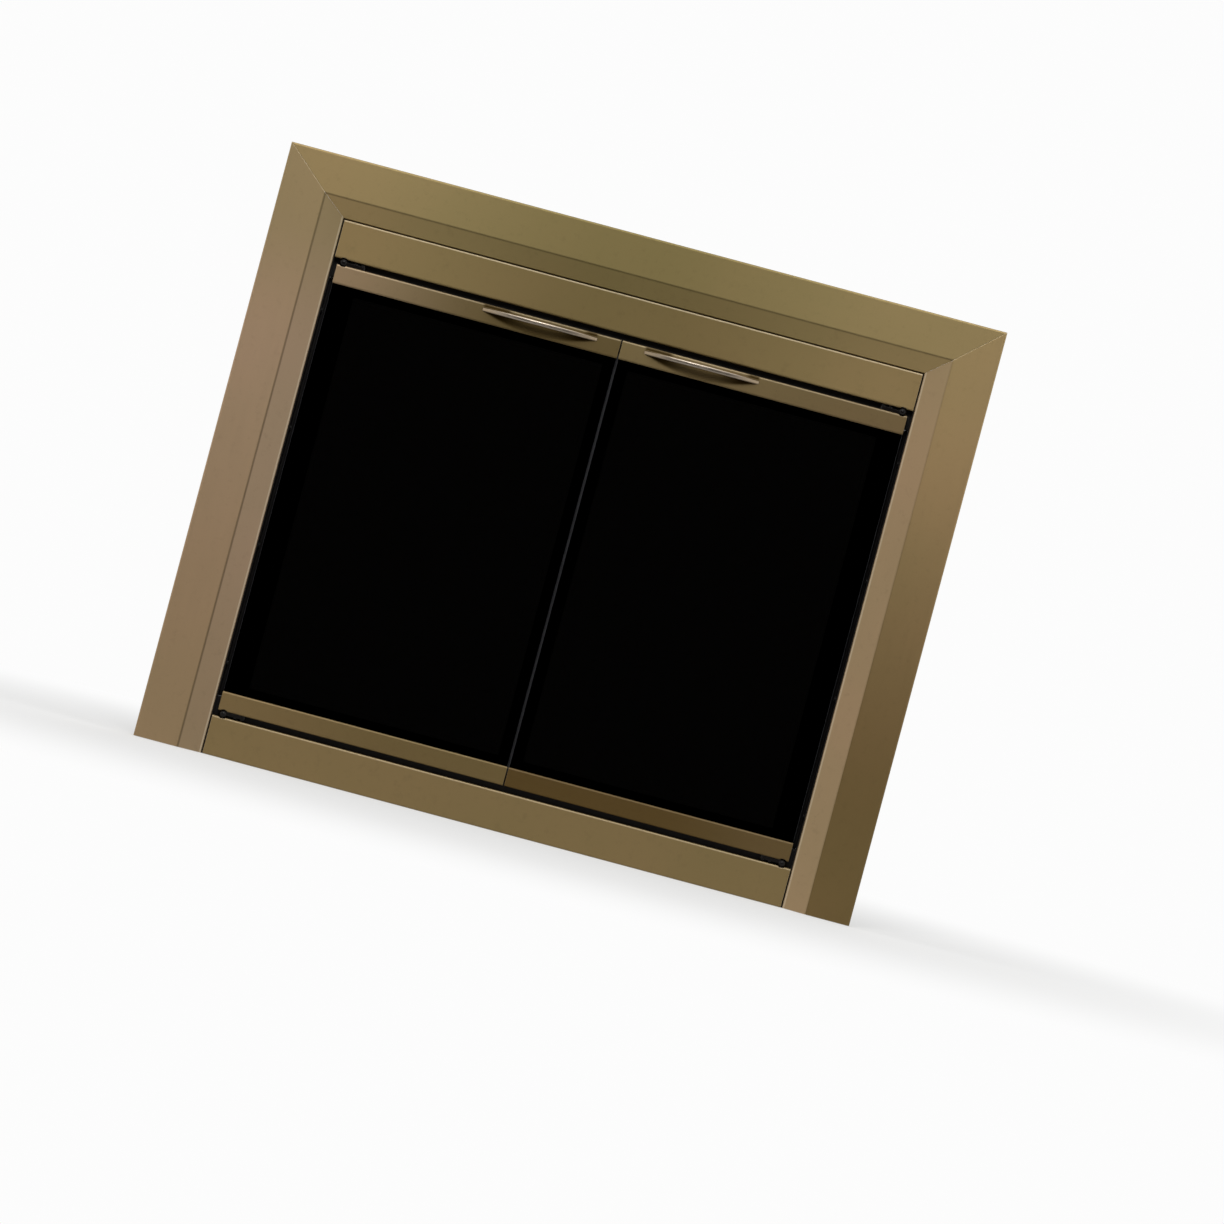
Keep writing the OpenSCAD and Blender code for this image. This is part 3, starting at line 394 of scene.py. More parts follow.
@cache
def dust() -> Tree:
    """Builds the thin dust that lies on faces that look up.

    Returns:
        A group: Vector and Cover give Mask.
    """
    effect = Effect("Dust", {"Vector": Port.VECTOR, "Cover": Port.NUMBER}, {"Mask": Port.NUMBER})
    graph = effect.graph
    surface = graph.add("ShaderNodeNewGeometry")
    up = graph.spread(graph.split(surface.outputs["Normal"])["Z"], -0.2, 1.0, 0.18, 1.0)
    cloud = graph.spread(graph.noise(effect.inputs["Vector"], 38.0, 6.0, 0.7), 0.35, 0.75)
    lying = graph.times(up, cloud)
    effect.give("Mask", graph.math("MULTIPLY", lying, effect.inputs["Cover"], clamp=True))
    return effect.tree


# ---- Finishes ----


def scaled(colour: Colour, factor: float) -> Colour:
    """Returns a colour made lighter or darker, with 1 as its most."""
    return tuple(min(1.0, part * factor) for part in colour)


class Grain(Enum):
    """Direction of a brushed grain, as the scale of its noise along X, Y and Z."""

    ALONG_X = (14.0, 2600.0, 2600.0)
    ALONG_Z = (2600.0, 2600.0, 14.0)


@dataclass(frozen=True)
class Surface:
    """Start of a finish: a new material with its shader and its place on the piece."""

    material: Material
    graph: Graph
    shader: Node
    place: Socket

    @classmethod
    def start(cls, name: str) -> "Surface":
        """Makes the material.

        Args:
            name: the material's name.

        Returns:
            The surface, with a plain Principled BSDF.
        """
        material = bpy.data.materials.new(name)
        material.use_nodes = True
        graph = Graph(material.node_tree)
        shader = material.node_tree.nodes["Principled BSDF"]
        return cls(material, graph, shader, graph.place())

    def effect(self, tree: Tree, **inputs: object) -> Outputs:
        """Returns the outputs of a shared effect that reads the place on the piece."""
        return self.graph.group(tree, Vector=self.place, **inputs)

    def bump(self, height: Socket, depth: float, normal: object = None) -> None:
        """Feeds the shader's normal from a height.

        Args:
            height: value from 0 to 1.
            depth: how high 1 stands, in metres.
            normal: normal under the bump, or None for the surface's own.
        """
        inputs = {"Height": height, "Distance": depth, "Strength": 1.0}
        if normal is not None:
            inputs["Normal"] = normal
        self.set(Normal=self.graph.add("ShaderNodeBump", inputs=inputs).outputs["Normal"])

    def set(self, **inputs: object) -> None:
        """Sets or feeds the shader's inputs; an underscore in a name stands for a space."""
        for name, value in inputs.items():
            self.graph.feed(self.shader.inputs[name.replace("_", " ")], value)


class Finish:
    """A finish of the set: each kind of it says how it feeds the shader of a new surface."""

    name: str

    def build(self) -> Material:
        """Makes the material.

        Returns:
            The new material.
        """
        surface = Surface.start(self.name)
        self.paint(surface)
        return surface.material


@dataclass(frozen=True)
class Bend:
    """The bend between a flat band and its bevel, as a place along one axis.

    A dark line runs along it. The bevel's tone is painted light and shade, and the band's foot is
    painted shade, deeper towards the hearth, where the foot tone says how much of the colour is left.
    """

    axis: str
    place: float
    bevel_light_tone: Colour = PLAIN
    band_foot_shade: Colour = PLAIN
    line_strength: float = 0.6
    line_width: float = 0.0022
    fade_from: float = 0.80
    fade_to: float = 0.12


@dataclass(frozen=True)
class PaintedLightDrift:
    """Painted light and shade: a slow change of tone between two places on an axis; mirrored reads left
    as right.
    """

    axis: str
    start: float
    end: float
    at_start: Colour
    at_end: Colour
    mirrored: bool = True


@dataclass(frozen=True)
class Lip:
    """A painted highlight: a pale line along a folded edge, where light catches the rounded fold."""

    axis: str
    place: float
    strength: float
    half_width: float = 0.0017


@dataclass(frozen=True)
class AntiqueBrass(Finish):
    """Satin antique brass on folded sheet, brushed along its length."""

    name: str
    grain: Grain
    # The tint multiplies the colour; the pieces use it as painted light and shade.
    tint: Colour = PLAIN
    bend: Bend | None = None
    painted_light_drifts: tuple[PaintedLightDrift, ...] = ()
    lip: Lip | None = None
    handle_middle: tuple[float, float] | None = None
    # Colour of the painted shadow below the bow handle and above its ends.
    handle_shadow_tone: Colour = (0.034, 0.018, 0.002)
    wear_and_highlight: float = 0.5
    warm: Colour = (0.378, 0.268, 0.122)
    cool: Colour = (0.345, 0.256, 0.112)
    # Colour of the worn edges, which also serves as painted edge highlight.
    worn_and_highlight: Colour = (0.70, 0.61, 0.46)
    line_tone: Colour = (0.07, 0.05, 0.022)
    roughness: float = 0.55
    scratch_depth: float = 0.000004

    def paint(self, surface: Surface) -> None:
        """Feeds the shader.

        Args:
            surface: the new surface.
        """
        graph = surface.graph
        warm, cool = (tuple(np.multiply(tone, self.tint)) for tone in (self.warm, self.cool))
        skin = surface.effect(patina(), Scale=2.6, Warm=warm, Cool=cool, Specks=0.10)
        colour = skin["Color"]
        parts = graph.split(surface.place)
        if self.bend is not None:
            colour = self.fold(graph, parts, colour)
        for change in self.painted_light_drifts:
            along = graph.math("ABSOLUTE", parts[change.axis]) if change.mirrored else parts[change.axis]
            colour = graph.group(
                drift(), Coordinate=along, Start=change.start, End=change.end,
                From_Tone=change.at_start, To_Tone=change.at_end, Color=colour,
            )["Color"]
        # Painted highlight along a folded edge.
        if self.lip is not None:
            along = graph.math("ABSOLUTE", parts[self.lip.axis])
            lip = self.lip
            line = graph.group(crease(), Coordinate=along, Place=lip.place, Width=lip.half_width)
            colour = graph.mix(graph.times(line["Mask"], lip.strength), colour, self.worn_and_highlight)
        # Painted shadow of the bow handle on its rail: a dark crescent below the bar and a thin dark line
        # above its ends.
        if self.handle_middle is not None:
            from_grip = graph.math("SUBTRACT", parts["X"], self.handle_middle[0])
            height = graph.math("SUBTRACT", parts["Z"], self.handle_middle[1])
            corner = graph.group(painted_handle_shadow(), Along=from_grip, Height=height)["Mask"]
            colour = graph.mix(corner, colour, self.handle_shadow_tone)
        # Pale edges: partly wear, partly painted highlight where light catches the edges.
        edges = surface.effect(edge_wear(), Radius=0.0012, Breakup=0.35)
        worn_and_highlight = graph.mix(graph.times(edges["Mask"], self.wear_and_highlight), colour, self.worn_and_highlight)
        value = surface.effect(brushed_grain(), Stretch=self.grain.value)["Value"]
        lit = graph.add("ShaderNodeVectorMath", worn_and_highlight, operation="SCALE")
        graph.feed(lit.inputs["Scale"], graph.spread(value, 0.3, 0.7, 0.965, 1.035))
        surface.set(Base_Color=lit.outputs["Vector"], Metallic=1.0)
        surface.set(Roughness=graph.spread(value, 0.3, 0.7, self.roughness - 0.03, self.roughness + 0.04))
        surface.bump(value, self.scratch_depth, edges["Normal"])

    def fold(self, graph: Graph, parts: Outputs, colour: Socket) -> Socket:
        """Darkens the bend line and paints light and shade on the bevel and on the band's foot.

        Args:
            graph: the material's tree.
            parts: the place on the piece, split into its axes.
            colour: the metal's colour.

        Returns:
            The changed colour.
        """
        bend = self.bend
        along = graph.math("ABSOLUTE", parts[bend.axis])
        line = graph.group(crease(), Coordinate=along, Place=bend.place, Width=bend.line_width)
        fade = graph.spread(parts["Z"], bend.fade_to, bend.fade_from)
        band_tone = graph.mix(fade, bend.band_foot_shade, PLAIN)
        tone = graph.mix(line["Side"], band_tone, bend.bevel_light_tone)
        shaded = graph.mix(1.0, colour, tone, "MULTIPLY")
        return graph.mix(graph.times(line["Mask"], bend.line_strength), shaded, self.line_tone)


@dataclass(frozen=True)
class HandleBrass(Finish):
    """Polished antique brass of the bow handles, with painted shade that darkens both ends."""

    name: str = "handle_brass"
    colour: Colour = (0.42, 0.355, 0.285)
    shadow: Colour = (0.30, 0.23, 0.14)
    shadow_share: float = 0.18
    # Tone at the ends: painted shade on the ends of the bow, which turn sideways to the light.
    ends: Colour = (0.58, 0.53, 0.44)
    grip_x: float = 0.116
    grip_start: float = 0.030
    grip_end: float = 0.080
    roughness: float = 0.30

    def paint(self, surface: Surface) -> None:
        """Feeds the shader.

        Args:
            surface: the new surface.
        """
        graph = surface.graph
        tones = {"Warm": self.colour, "Cool": scaled(self.colour, 0.93)}
        skin = surface.effect(patina(), Scale=30.0, Specks=0.05, **tones)
        edges = surface.effect(edge_wear(), Radius=0.0008, Breakup=0.3)
        hands = graph.spread(graph.noise(surface.place, 160.0, 5.0, 0.65), 0.40, 0.75)
        handled = graph.mix(graph.times(hands, self.shadow_share), skin["Color"], self.shadow)
        from_grip = graph.apart(graph.math("ABSOLUTE", graph.split(surface.place)["X"]), self.grip_x)
        # Painted shade: the colour darkens from the grip towards the ends.
        colour = graph.group(
            drift(), Coordinate=from_grip, Start=self.grip_start, End=self.grip_end,
            From_Tone=PLAIN, To_Tone=self.ends, Color=handled,
        )["Color"]
        surface.set(Base_Color=colour, Metallic=1.0)
        surface.set(Roughness=graph.spread(hands, 0.0, 1.0, self.roughness, self.roughness + 0.10))
        surface.bump(hands, 0.000008, edges["Normal"])


@dataclass(frozen=True)
class BlackPaint(Finish):
    """Heat-proof black paint with a fine orange peel, dust and rubbed edges."""

    name: str
    colour: Colour = (0.0050, 0.0038, 0.0032)
    rubbed: Colour = (0.033, 0.028, 0.023)
    roughness: float = 0.45
    shine: float = 0.18
    dust_cover: float = 0.30
    peel: float = 0.000010

    def paint(self, surface: Surface) -> None:
        """Feeds the shader.

        Args:
            surface: the new surface.
        """
        graph = surface.graph
        edges = surface.effect(edge_wear(), Radius=0.0007, Breakup=0.8)
        settled = surface.effect(dust(), Cover=self.dust_cover)["Mask"]
        rubbed = graph.mix(graph.times(edges["Mask"], 0.7), self.colour, self.rubbed)
        dusty = graph.mix(graph.times(settled, 0.35), rubbed, DUST_TONE)
        grain = graph.noise(surface.place, 1500.0, 2.0, 0.5)
        surface.set(Base_Color=dusty, Metallic=0.0, Specular_IOR_Level=self.shine)
        surface.set(Roughness=graph.spread(settled, 0.0, 0.6, self.roughness, self.roughness + 0.3))
        surface.bump(grain, self.peel, edges["Normal"])


@dataclass(frozen=True)
class PlainMetal(Finish):
    """Bare or plated metal of screws, pins, bushes and strikes."""

    name: str
    colour: Colour
    stain: Colour
    roughness: float = 0.32

    def paint(self, surface: Surface) -> None:
        """Feeds the shader.

        Args:
            surface: the new surface.
        """
        graph = surface.graph
        tones = {"Warm": self.colour, "Cool": self.stain}
        skin = surface.effect(patina(), Scale=140.0, Specks=0.25, **tones)
        edges = surface.effect(edge_wear(), Radius=0.0003, Breakup=0.5)
        value = surface.effect(brushed_grain(), Stretch=(900.0,) * 3)["Value"]
        bright = scaled(self.colour, 1.4)
        surface.set(Base_Color=graph.mix(edges["Mask"], skin["Color"], bright), Metallic=1.0)
        surface.set(Roughness=graph.spread(value, 0.3, 0.7, self.roughness, self.roughness + 0.2))
        surface.bump(value, 0.000006, edges["Normal"])


@dataclass(frozen=True)
class SmokedGlass(Finish):
    """Dark smoked tempered glass with a trace of dust on its faces."""

    name: str = "smoked_glass"
    tint: Colour = (0.0013, 0.0012, 0.0011)

    def paint(self, surface: Surface) -> None:
        """Feeds the shader.

        Args:
            surface: the new surface.
        """
        graph = surface.graph
        settled = surface.effect(dust(), Cover=0.25)["Mask"]
        surface.set(Base_Color=self.tint, Metallic=0.0, IOR=1.45, Transmission_Weight=1.0)
        surface.set(Roughness=graph.spread(settled, 0.0, 0.3, 0.015, 0.06))


@dataclass(frozen=True)
class GroundEdge(Finish):
    """Ground and seamed edge of the glass, grey with a blue cast."""

    name: str = "ground_glass_edge"
    colour: Colour = (0.020, 0.021, 0.026)

    def paint(self, surface: Surface) -> None:
        """Feeds the shader.

        Args:
            surface: the new surface.
        """
        graph = surface.graph
        chips = graph.noise(surface.place, 1400.0, 4.0, 0.7)
        shade = graph.mix(graph.spread(chips, 0.35, 0.7), self.colour, scaled(self.colour, 1.6))
        surface.set(Base_Color=shade, Metallic=0.0, Roughness=graph.spread(chips, 0.3, 0.7, 0.35, 0.6))
        surface.bump(chips, 0.00002)


@dataclass(frozen=True)
class WovenTape(Finish):
    """Dark braided glass-fibre tape that seats the glass."""

    name: str = "glass_seal"
    colour: Colour = (0.018, 0.016, 0.014)
    pitch: float = 0.0012

    def paint(self, surface: Surface) -> None:
        """Feeds the shader.

        Args:
            surface: the new surface.
        """
        graph = surface.graph
        parts = graph.split(surface.place)
        turns = 2.0 * math.pi / self.pitch
        across = graph.math("SINE", graph.times(parts["X"], turns))
        height = graph.math("ADD", parts["Z"], parts["Y"])
        along = graph.math("SINE", graph.times(height, turns))
        braid = graph.math("MULTIPLY_ADD", graph.times(across, along), 0.5, 0.5)
        thread = graph.mix(braid, self.colour, scaled(self.colour, 2.6))
        surface.set(Base_Color=thread, Metallic=0.0, Roughness=0.9)
        surface.bump(braid, 0.00012)


@dataclass(frozen=True)
class GlassWool(Finish):
    """Cream glass-fibre batt, with fibres, shadows between them and some soot."""

    name: str = "glass_wool"
    pale: Colour = (0.62, 0.55, 0.36)
    deep: Colour = (0.36, 0.28, 0.14)
    soot: Colour = (0.22, 0.18, 0.12)

    def paint(self, surface: Surface) -> None:
        """Feeds the shader.

        Args:
            surface: the new surface.
        """
        graph = surface.graph
        lays = [
            surface.effect(brushed_grain(), Stretch=stretch)["Value"]
            for stretch in ((260.0, 520.0, 90.0), (60.0, 300.0, 420.0))
        ]
        strand = graph.spread(graph.times(*lays), 0.12, 0.42)
        cloud = graph.spread(graph.noise(surface.place, 24.0, 4.0, 0.6), 0.35, 0.7)
        body = graph.mix(strand, self.deep, self.pale)
        dirty = graph.mix(graph.times(cloud, 0.30), body, self.soot)
        surface.set(Base_Color=dirty, Metallic=0.0, Roughness=0.95)
        surface.bump(strand, 0.0009)


@dataclass(frozen=True)
class MouldedPlastic(Finish):
    """Brown-black plastic of the magnetic catches."""

    name: str = "catch_plastic"
    colour: Colour = (0.040, 0.028, 0.020)
    rubbed: Colour = (0.10, 0.075, 0.06)

    def paint(self, surface: Surface) -> None:
        """Feeds the shader.

        Args:
            surface: the new surface.
        """
        graph = surface.graph
        edges = surface.effect(edge_wear(), Radius=0.0006, Breakup=0.2)
        grain = graph.noise(surface.place, 2200.0, 2.0, 0.5)
        rubbed = graph.mix(graph.times(edges["Mask"], 0.4), self.colour, self.rubbed)
        surface.set(Base_Color=rubbed, Metallic=0.0, Roughness=graph.spread(grain, 0.3, 0.7, 0.42, 0.58))
        surface.bump(grain, 0.00001, edges["Normal"])


# ---- Meshes ----


def new_object(name: str, data: bpy.types.ID, *materials: Material) -> bpy.types.Object:
    """Makes an object and links it to the scene.

    Args:
        name: its name.
        data: its mesh, lamp or camera.
        *materials: a mesh's materials, in the order of its faces' indices.

    Returns:
        The new object.
    """
    made = bpy.data.objects.new(name, data)
    for material in materials:
        data.materials.append(material)
    bpy.context.scene.collection.objects.link(made)
    return made


def mesh_from(name: str, points: np.ndarray, faces: list[Face], smooth: bool = True) -> Mesh:
    """Makes a mesh of points and faces.

    Args:
        name: name of the mesh.
        points: one row per point.
        faces: the points of each face.
        smooth: whether the faces are shaded smooth.

    Returns:
        The new mesh.
    """
    mesh = bpy.data.meshes.new(name)
    mesh.from_pydata(points.tolist(), [], faces)
    mesh.polygons.foreach_set("use_smooth", [smooth] * len(mesh.polygons))
    mesh.update()
    return mesh


def mesh_of(name: str, work: bmesh.types.BMesh) -> Mesh:
    """Closes an open mesh.

    Args:
        name: name of the mesh.
        work: the open mesh, which is freed.

    Returns:
        The new mesh.
    """
    mesh = bpy.data.meshes.new(name)
    work.to_mesh(mesh)
    work.free()
    return mesh


def block(low: Vector, high: Vector) -> bmesh.types.BMesh:
    """Starts a mesh from a block.

    Args:
        low: the block's lowest corner.
        high: its highest corner.

    Returns:
        The open mesh.
    """
    work = bmesh.new()
    bmesh.ops.create_cube(work, size=1.0)
    for vert in work.verts:
        vert.co = (low + high) / 2 + Vector(a * b for a, b in zip(vert.co, high - low))
    return work


def stand_in(mesh: Mesh, node: str, body: str, slot: str, *materials: Material) -> None:
    """Puts a finer piece in the place of a CAD node.

    Args:
        mesh: the piece's mesh, which also has its name.
        node: the node.
        body: the body that it rides on.
        slot: not used.
        *materials: its materials, in the order of its faces' indices.
    """
    piece = new_object(mesh.name, mesh, *materials)
    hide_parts(node)
    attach(piece, body)
    log.info("built %s: %d faces", piece.name, len(mesh.polygons))


def islands(node: str) -> list[Box]:
    """Finds the separate solids of a CAD node.

    Args:
        node: name of the node.

    Returns:
        The lowest and highest corner of each solid, from left to right.
    """
    mesh = bmesh.new()
    mesh.from_mesh(NODES[node].data)
    bmesh.ops.remove_doubles(mesh, verts=mesh.verts, dist=1e-6)
    left = set(mesh.verts)
    found = []
    while left:
        corners, queue = [], [left.pop()]
        while queue:
            vert = queue.pop()
            corners.append(vert.co.copy())
            near = {edge.other_vert(vert) for edge in vert.link_edges} & left
            left -= near
            queue += near
        points = np.array(corners)
        found.append((Vector(points.min(0)), Vector(points.max(0))))
    mesh.free()
    return sorted(found, key=lambda box: (round(box[0].x, 4), round(box[0].z, 4)))


def dress(material: Material, *nodes: str) -> None:
    """Gives CAD nodes a finish.

    Args:
        material: the finish.
        *nodes: names of the nodes.
    """
    for node in nodes:
        for place in NODES[node].material_slots:
            place.material = material
        log.info("finish %s on %s", material.name, node)


class Side(Enum):
    """Left or right door, with the sign of its X."""

    LEFT = -1
    RIGHT = 1

    @property
    def word(self) -> str:
        """The side's name, as the nodes have it."""
        return self.name.lower()


# ---- Sub-assemblies ----


@dataclass
class Surround:
    """The stiles and the header: folded sheets with a flat band and a bevel."""

    stile_band: float = 0.063
    header_band: float = 0.0565
    lip_inset: float = 0.0020
    highlight_strength: float = 0.35
    # The tints of the three sheets are painted light and shade: each is made lighter, darker or cooler by
    # how light falls on it.
    left_light_tint: Colour = (0.97, 0.96, 1.21)
    right_light_tint: Colour = (1.00, 0.97, 1.05)
    header_light_tint: Colour = (0.90, 0.91, 0.92)
    left_head: PaintedLightDrift = PaintedLightDrift("Z", 0.54, 0.80, (1.15, 1.12, 1.27), (0.90, 0.95, 0.86))
    left_foot: PaintedLightDrift = PaintedLightDrift("Z", 0.02, 0.50, (0.80, 0.82, 0.75), PLAIN)
    right_head: PaintedLightDrift = PaintedLightDrift("Z", 0.60, 0.80, PLAIN, (0.97, 1.00, 0.98))
    header_middle: PaintedLightDrift = PaintedLightDrift("X", 0.02, 0.42, (0.70, 0.74, 0.68), (1.0, 1.02, 1.04))

    def build(self) -> None:
        """Dresses the three sheets."""
        across = CAD_BOX[1].x - self.stile_band
        up = CAD_BOX[1].z - self.header_band
        # The bevel tones and the band foot tones are painted light and shade.
        left_bend = Bend("X", across, bevel_light_tone=(0.90, 0.92, 0.94), band_foot_shade=(0.96, 0.95, 0.90))
        right_bend = Bend(
            "X", across, bevel_light_tone=(0.95, 0.96, 1.12), band_foot_shade=(0.49, 0.47, 0.40),
            line_strength=0.2, fade_from=0.76, fade_to=0.16,
        )
        header_bend = Bend("Z", up, bevel_light_tone=(1.10, 1.08, 1.08), line_strength=0.45)
        lip = Lip("X", abs(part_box("surround_left")[1].x) + self.lip_inset, self.highlight_strength)
        left_painted_light_drifts = (self.left_head, self.left_foot)
        left = AntiqueBrass(
            "antique_brass_left", Grain.ALONG_Z, self.left_light_tint, left_bend, left_painted_light_drifts, lip,
        )
        right = AntiqueBrass(
            "antique_brass_right", Grain.ALONG_Z, self.right_light_tint, right_bend, (self.right_head,), lip,
        )
        header = AntiqueBrass(
            "antique_brass_header", Grain.ALONG_X, self.header_light_tint, header_bend, (self.header_middle,),
        )
        dress(left.build(), "surround_left")
        dress(right.build(), "surround_right")
        dress(header.build(), "surround_top")


@dataclass
class FixedRails:
    """The lintel rail and the sill rail."""

    lip_inset: float = 0.0016
    lintel_highlight: float = 0.38
    sill_highlight: float = 0.20
    # The rails' tints are painted shade: the same brass, made darker where less light reaches it.
    lintel_light_tint: Colour = (0.74, 0.74, 0.73)
    sill_light_tint: Colour = (0.66, 0.655, 0.66)
    lintel_middle: PaintedLightDrift = PaintedLightDrift("X", 0.04, 0.40, (0.73, 0.74, 0.70), (1.08, 1.07, 1.10))

    def build(self) -> None:
        """Dresses both rails."""
        for word, tint, painted_light_drifts, strength in (
            ("lintel", self.lintel_light_tint, (self.lintel_middle,), self.lintel_highlight),
            ("sill", self.sill_light_tint, (), self.sill_highlight),
        ):
            node = f"{word}_rail"
            lip = Lip("Z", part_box(node)[1].z - self.lip_inset, strength)
            brass = AntiqueBrass(f"antique_brass_{word}", Grain.ALONG_X, tint, painted_light_drifts=painted_light_drifts, lip=lip)
            dress(brass.build(), node)


@dataclass
class CarryingFrame:
    """Channels, jambs, keys, brackets and clamps, with the screws that hold them."""

    def build(self) -> None:
        """Dresses the carrying frame and its fixings."""
        dress(
            BlackPaint("black_steel").build(),
            "head_channel", "sill_channel", "jamb_left", "jamb_right", "inner_corner_angles",
            "pivot_brackets", "corner_keys", "lintel_clamp_arms", "lintel_clamp_plates", "floor_brackets",
            "draft_slide", "draft_tab",
        )
        screw_paint = BlackPaint("black_screws", roughness=0.3, dust_cover=0.15).build()
        dress(screw_paint, "jamb_screws", "frame_screws")
        zinc = PlainMetal("zinc_steel", (0.50, 0.50, 0.49), (0.40, 0.39, 0.35)).build()
        dress(zinc, "corner_key_screws", "slide_guide_pins")
        dress(zinc, "lintel_clamp_bolts", "lintel_clamp_wing_nuts")
        dress(PlainMetal("bush_bronze", (0.40, 0.26, 0.12), (0.25, 0.15, 0.07)).build(), "pivot_bushes")
        dress(MouldedPlastic().build(), "magnetic_catches")


@dataclass
class InsulationBatts:
    """Glass-fibre batts packed behind the bands of the surround."""

    step: float = 0.006
    round_r: float = 0.006
    sink: float = 0.0022
    seed: int = 7
    lumps: float = 55.0
    fuzz: float = 0.4

    def build(self) -> None:
        """Builds the three batts in place of their plain solids."""
        noise.seed_set(self.seed)
        node = "insulation_strips"
        points, faces = [], []
        for low, high in islands(node):
            batt_points, batt_faces = self.batt(low, high)
            faces += [tuple(i + len(points) for i in face) for face in batt_faces]
            points += batt_points
        mesh = mesh_from("insulation_batts", np.array(points), faces)
        stand_in(mesh, node, "frame", "insulation", GlassWool().build())

    def batt(self, low: Vector, high: Vector) -> tuple[list[Point], list[Face]]:
        """Makes one batt: a block with soft edges and an uneven skin, inside its box.

        Args:
            low: lowest corner of its box.
            high: highest corner.

        Returns:
            Its points and its faces.
        """
        work = block(low, high)
        size = high - low
        for axis in range(3):
            cuts = max(1, int(size[axis] / self.step)) - 1
            across = [
                edge for edge in work.edges
                if abs((edge.verts[0].co - edge.verts[1].co)[axis]) > 0.9 * size[axis]
            ]
            if cuts:
                bmesh.ops.subdivide_edges(work, edges=across, cuts=cuts, use_grid_fill=True)
        inner_low = low + Vector((self.round_r,) * 3)
        inner_high = high - Vector((self.round_r,) * 3)
        for vert in work.verts:
            core = Vector(min(max(c, a), b) for c, a, b in zip(vert.co, inner_low, inner_high))
            outward = (vert.co - core).normalized()
            hollow = self.sink * (0.5 + 0.5 * noise.noise(vert.co * self.lumps))
            vert.co = core + outward * (self.round_r - hollow - self.fuzz * self.sink * noise.random())
        work.verts.index_update()
        points = [tuple(vert.co) for vert in work.verts]
        faces = [tuple(vert.index for vert in face.verts) for face in work.faces]
        work.free()
        return points, faces


@dataclass
class GlassPane:
    """One pane of smoked glass with ground edges."""

    side: Side
    seam: float = 0.0003

    def build(self, glass: Material, edge: Material) -> None:
        """Builds the pane in place of its plain slab.

        Args:
            glass: finish of the faces.
            edge: finish of the ground edges.
        """
        node = f"{self.side.word}_glass"
        work = block(*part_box(node))
        bmesh.ops.bevel(
            work, geom=list(work.edges), offset=self.seam, segments=3, profile=0.5, affect="EDGES",
        )
        for face in work.faces:
            face.material_index = 0 if abs(face.normal.y) > 0.999 else 1
            face.smooth = face.material_index == 1
        mesh = mesh_of(f"{node}_pane", work)
        stand_in(mesh, node, f"{self.side.word}_door", "smoked_glass", glass, edge)


@dataclass
class Door:
    """One glass door: rails, pane, seals, handle, hinges and pins."""

    side: Side
    finishes: dict[str, Material]
    lip_inset: float = 0.0016
    edge_highlights: ClassVar[dict[str, float]] = {"top": 0.16, "bottom": 0.06}
    rail_wear_and_highlight: float = 0.10
    # Each rail's tint and drift are painted light and shade.
    tones: ClassVar[dict[tuple[Side, str], tuple[Colour, PaintedLightDrift]]] = {
        (Side.LEFT, "top"): (
            (0.58, 0.565, 0.58), PaintedLightDrift("X", 0.15, 0.42, (0.66, 0.67, 0.61), (1.50, 1.50, 1.90)),
        ),
        (Side.LEFT, "bottom"): (
            (0.46, 0.445, 0.42), PaintedLightDrift("X", 0.15, 0.42, (1.00, 1.02, 1.00), (1.24, 1.24, 1.30)),
        ),
        (Side.RIGHT, "top"): ((0.51, 0.50, 0.53), PaintedLightDrift("X", 0.02, 0.30, (1.06, 1.10, 1.06), PLAIN)),
        (Side.RIGHT, "bottom"): (
            (0.300, 0.262, 0.200), PaintedLightDrift("X", 0.20, 0.40, PLAIN, (1.30, 1.36, 1.70)),
        ),
    }

    def build(self) -> None:
        """Builds and dresses the door."""
        word = self.side.word
        GlassPane(self.side).build(self.finishes["glass"], self.finishes["edge"])
        dress(self.finishes["handle"], f"{word}_handle")
        self.rails()
        dress(self.finishes["seal"], f"{word}_glass_seals")
        dress(self.finishes["hinge"], f"{word}_top_hinge", f"{word}_bottom_hinge")
        dress(self.finishes["screw"], f"{word}_hinge_screws")
        dress(self.finishes["zinc"], f"{word}_handle_screws", f"{word}_pivot_pins", f"{word}_strike")

    def rails(self) -> None:
        """Dresses the two rails, each with its own painted light and shade, and the handle's painted
        shadow on the top one.
        """
        word = self.side.word
        low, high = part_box(f"{word}_handle")
        grip = (low + high) / 2
        for end, strength in self.edge_highlights.items():
            node = f"{word}_{end}_rail"
            tint, change = self.tones[self.side, end]
            brass = AntiqueBrass(
                f"antique_brass_{word}_{end}", Grain.ALONG_X, tint, painted_light_drifts=(change,),
                lip=Lip("Z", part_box(node)[1].z - self.lip_inset, strength),
                handle_middle=(grip.x, grip.z) if end == "top" else None, wear_and_highlight=self.rail_wear_and_highlight,
            )
            dress(brass.build(), node)


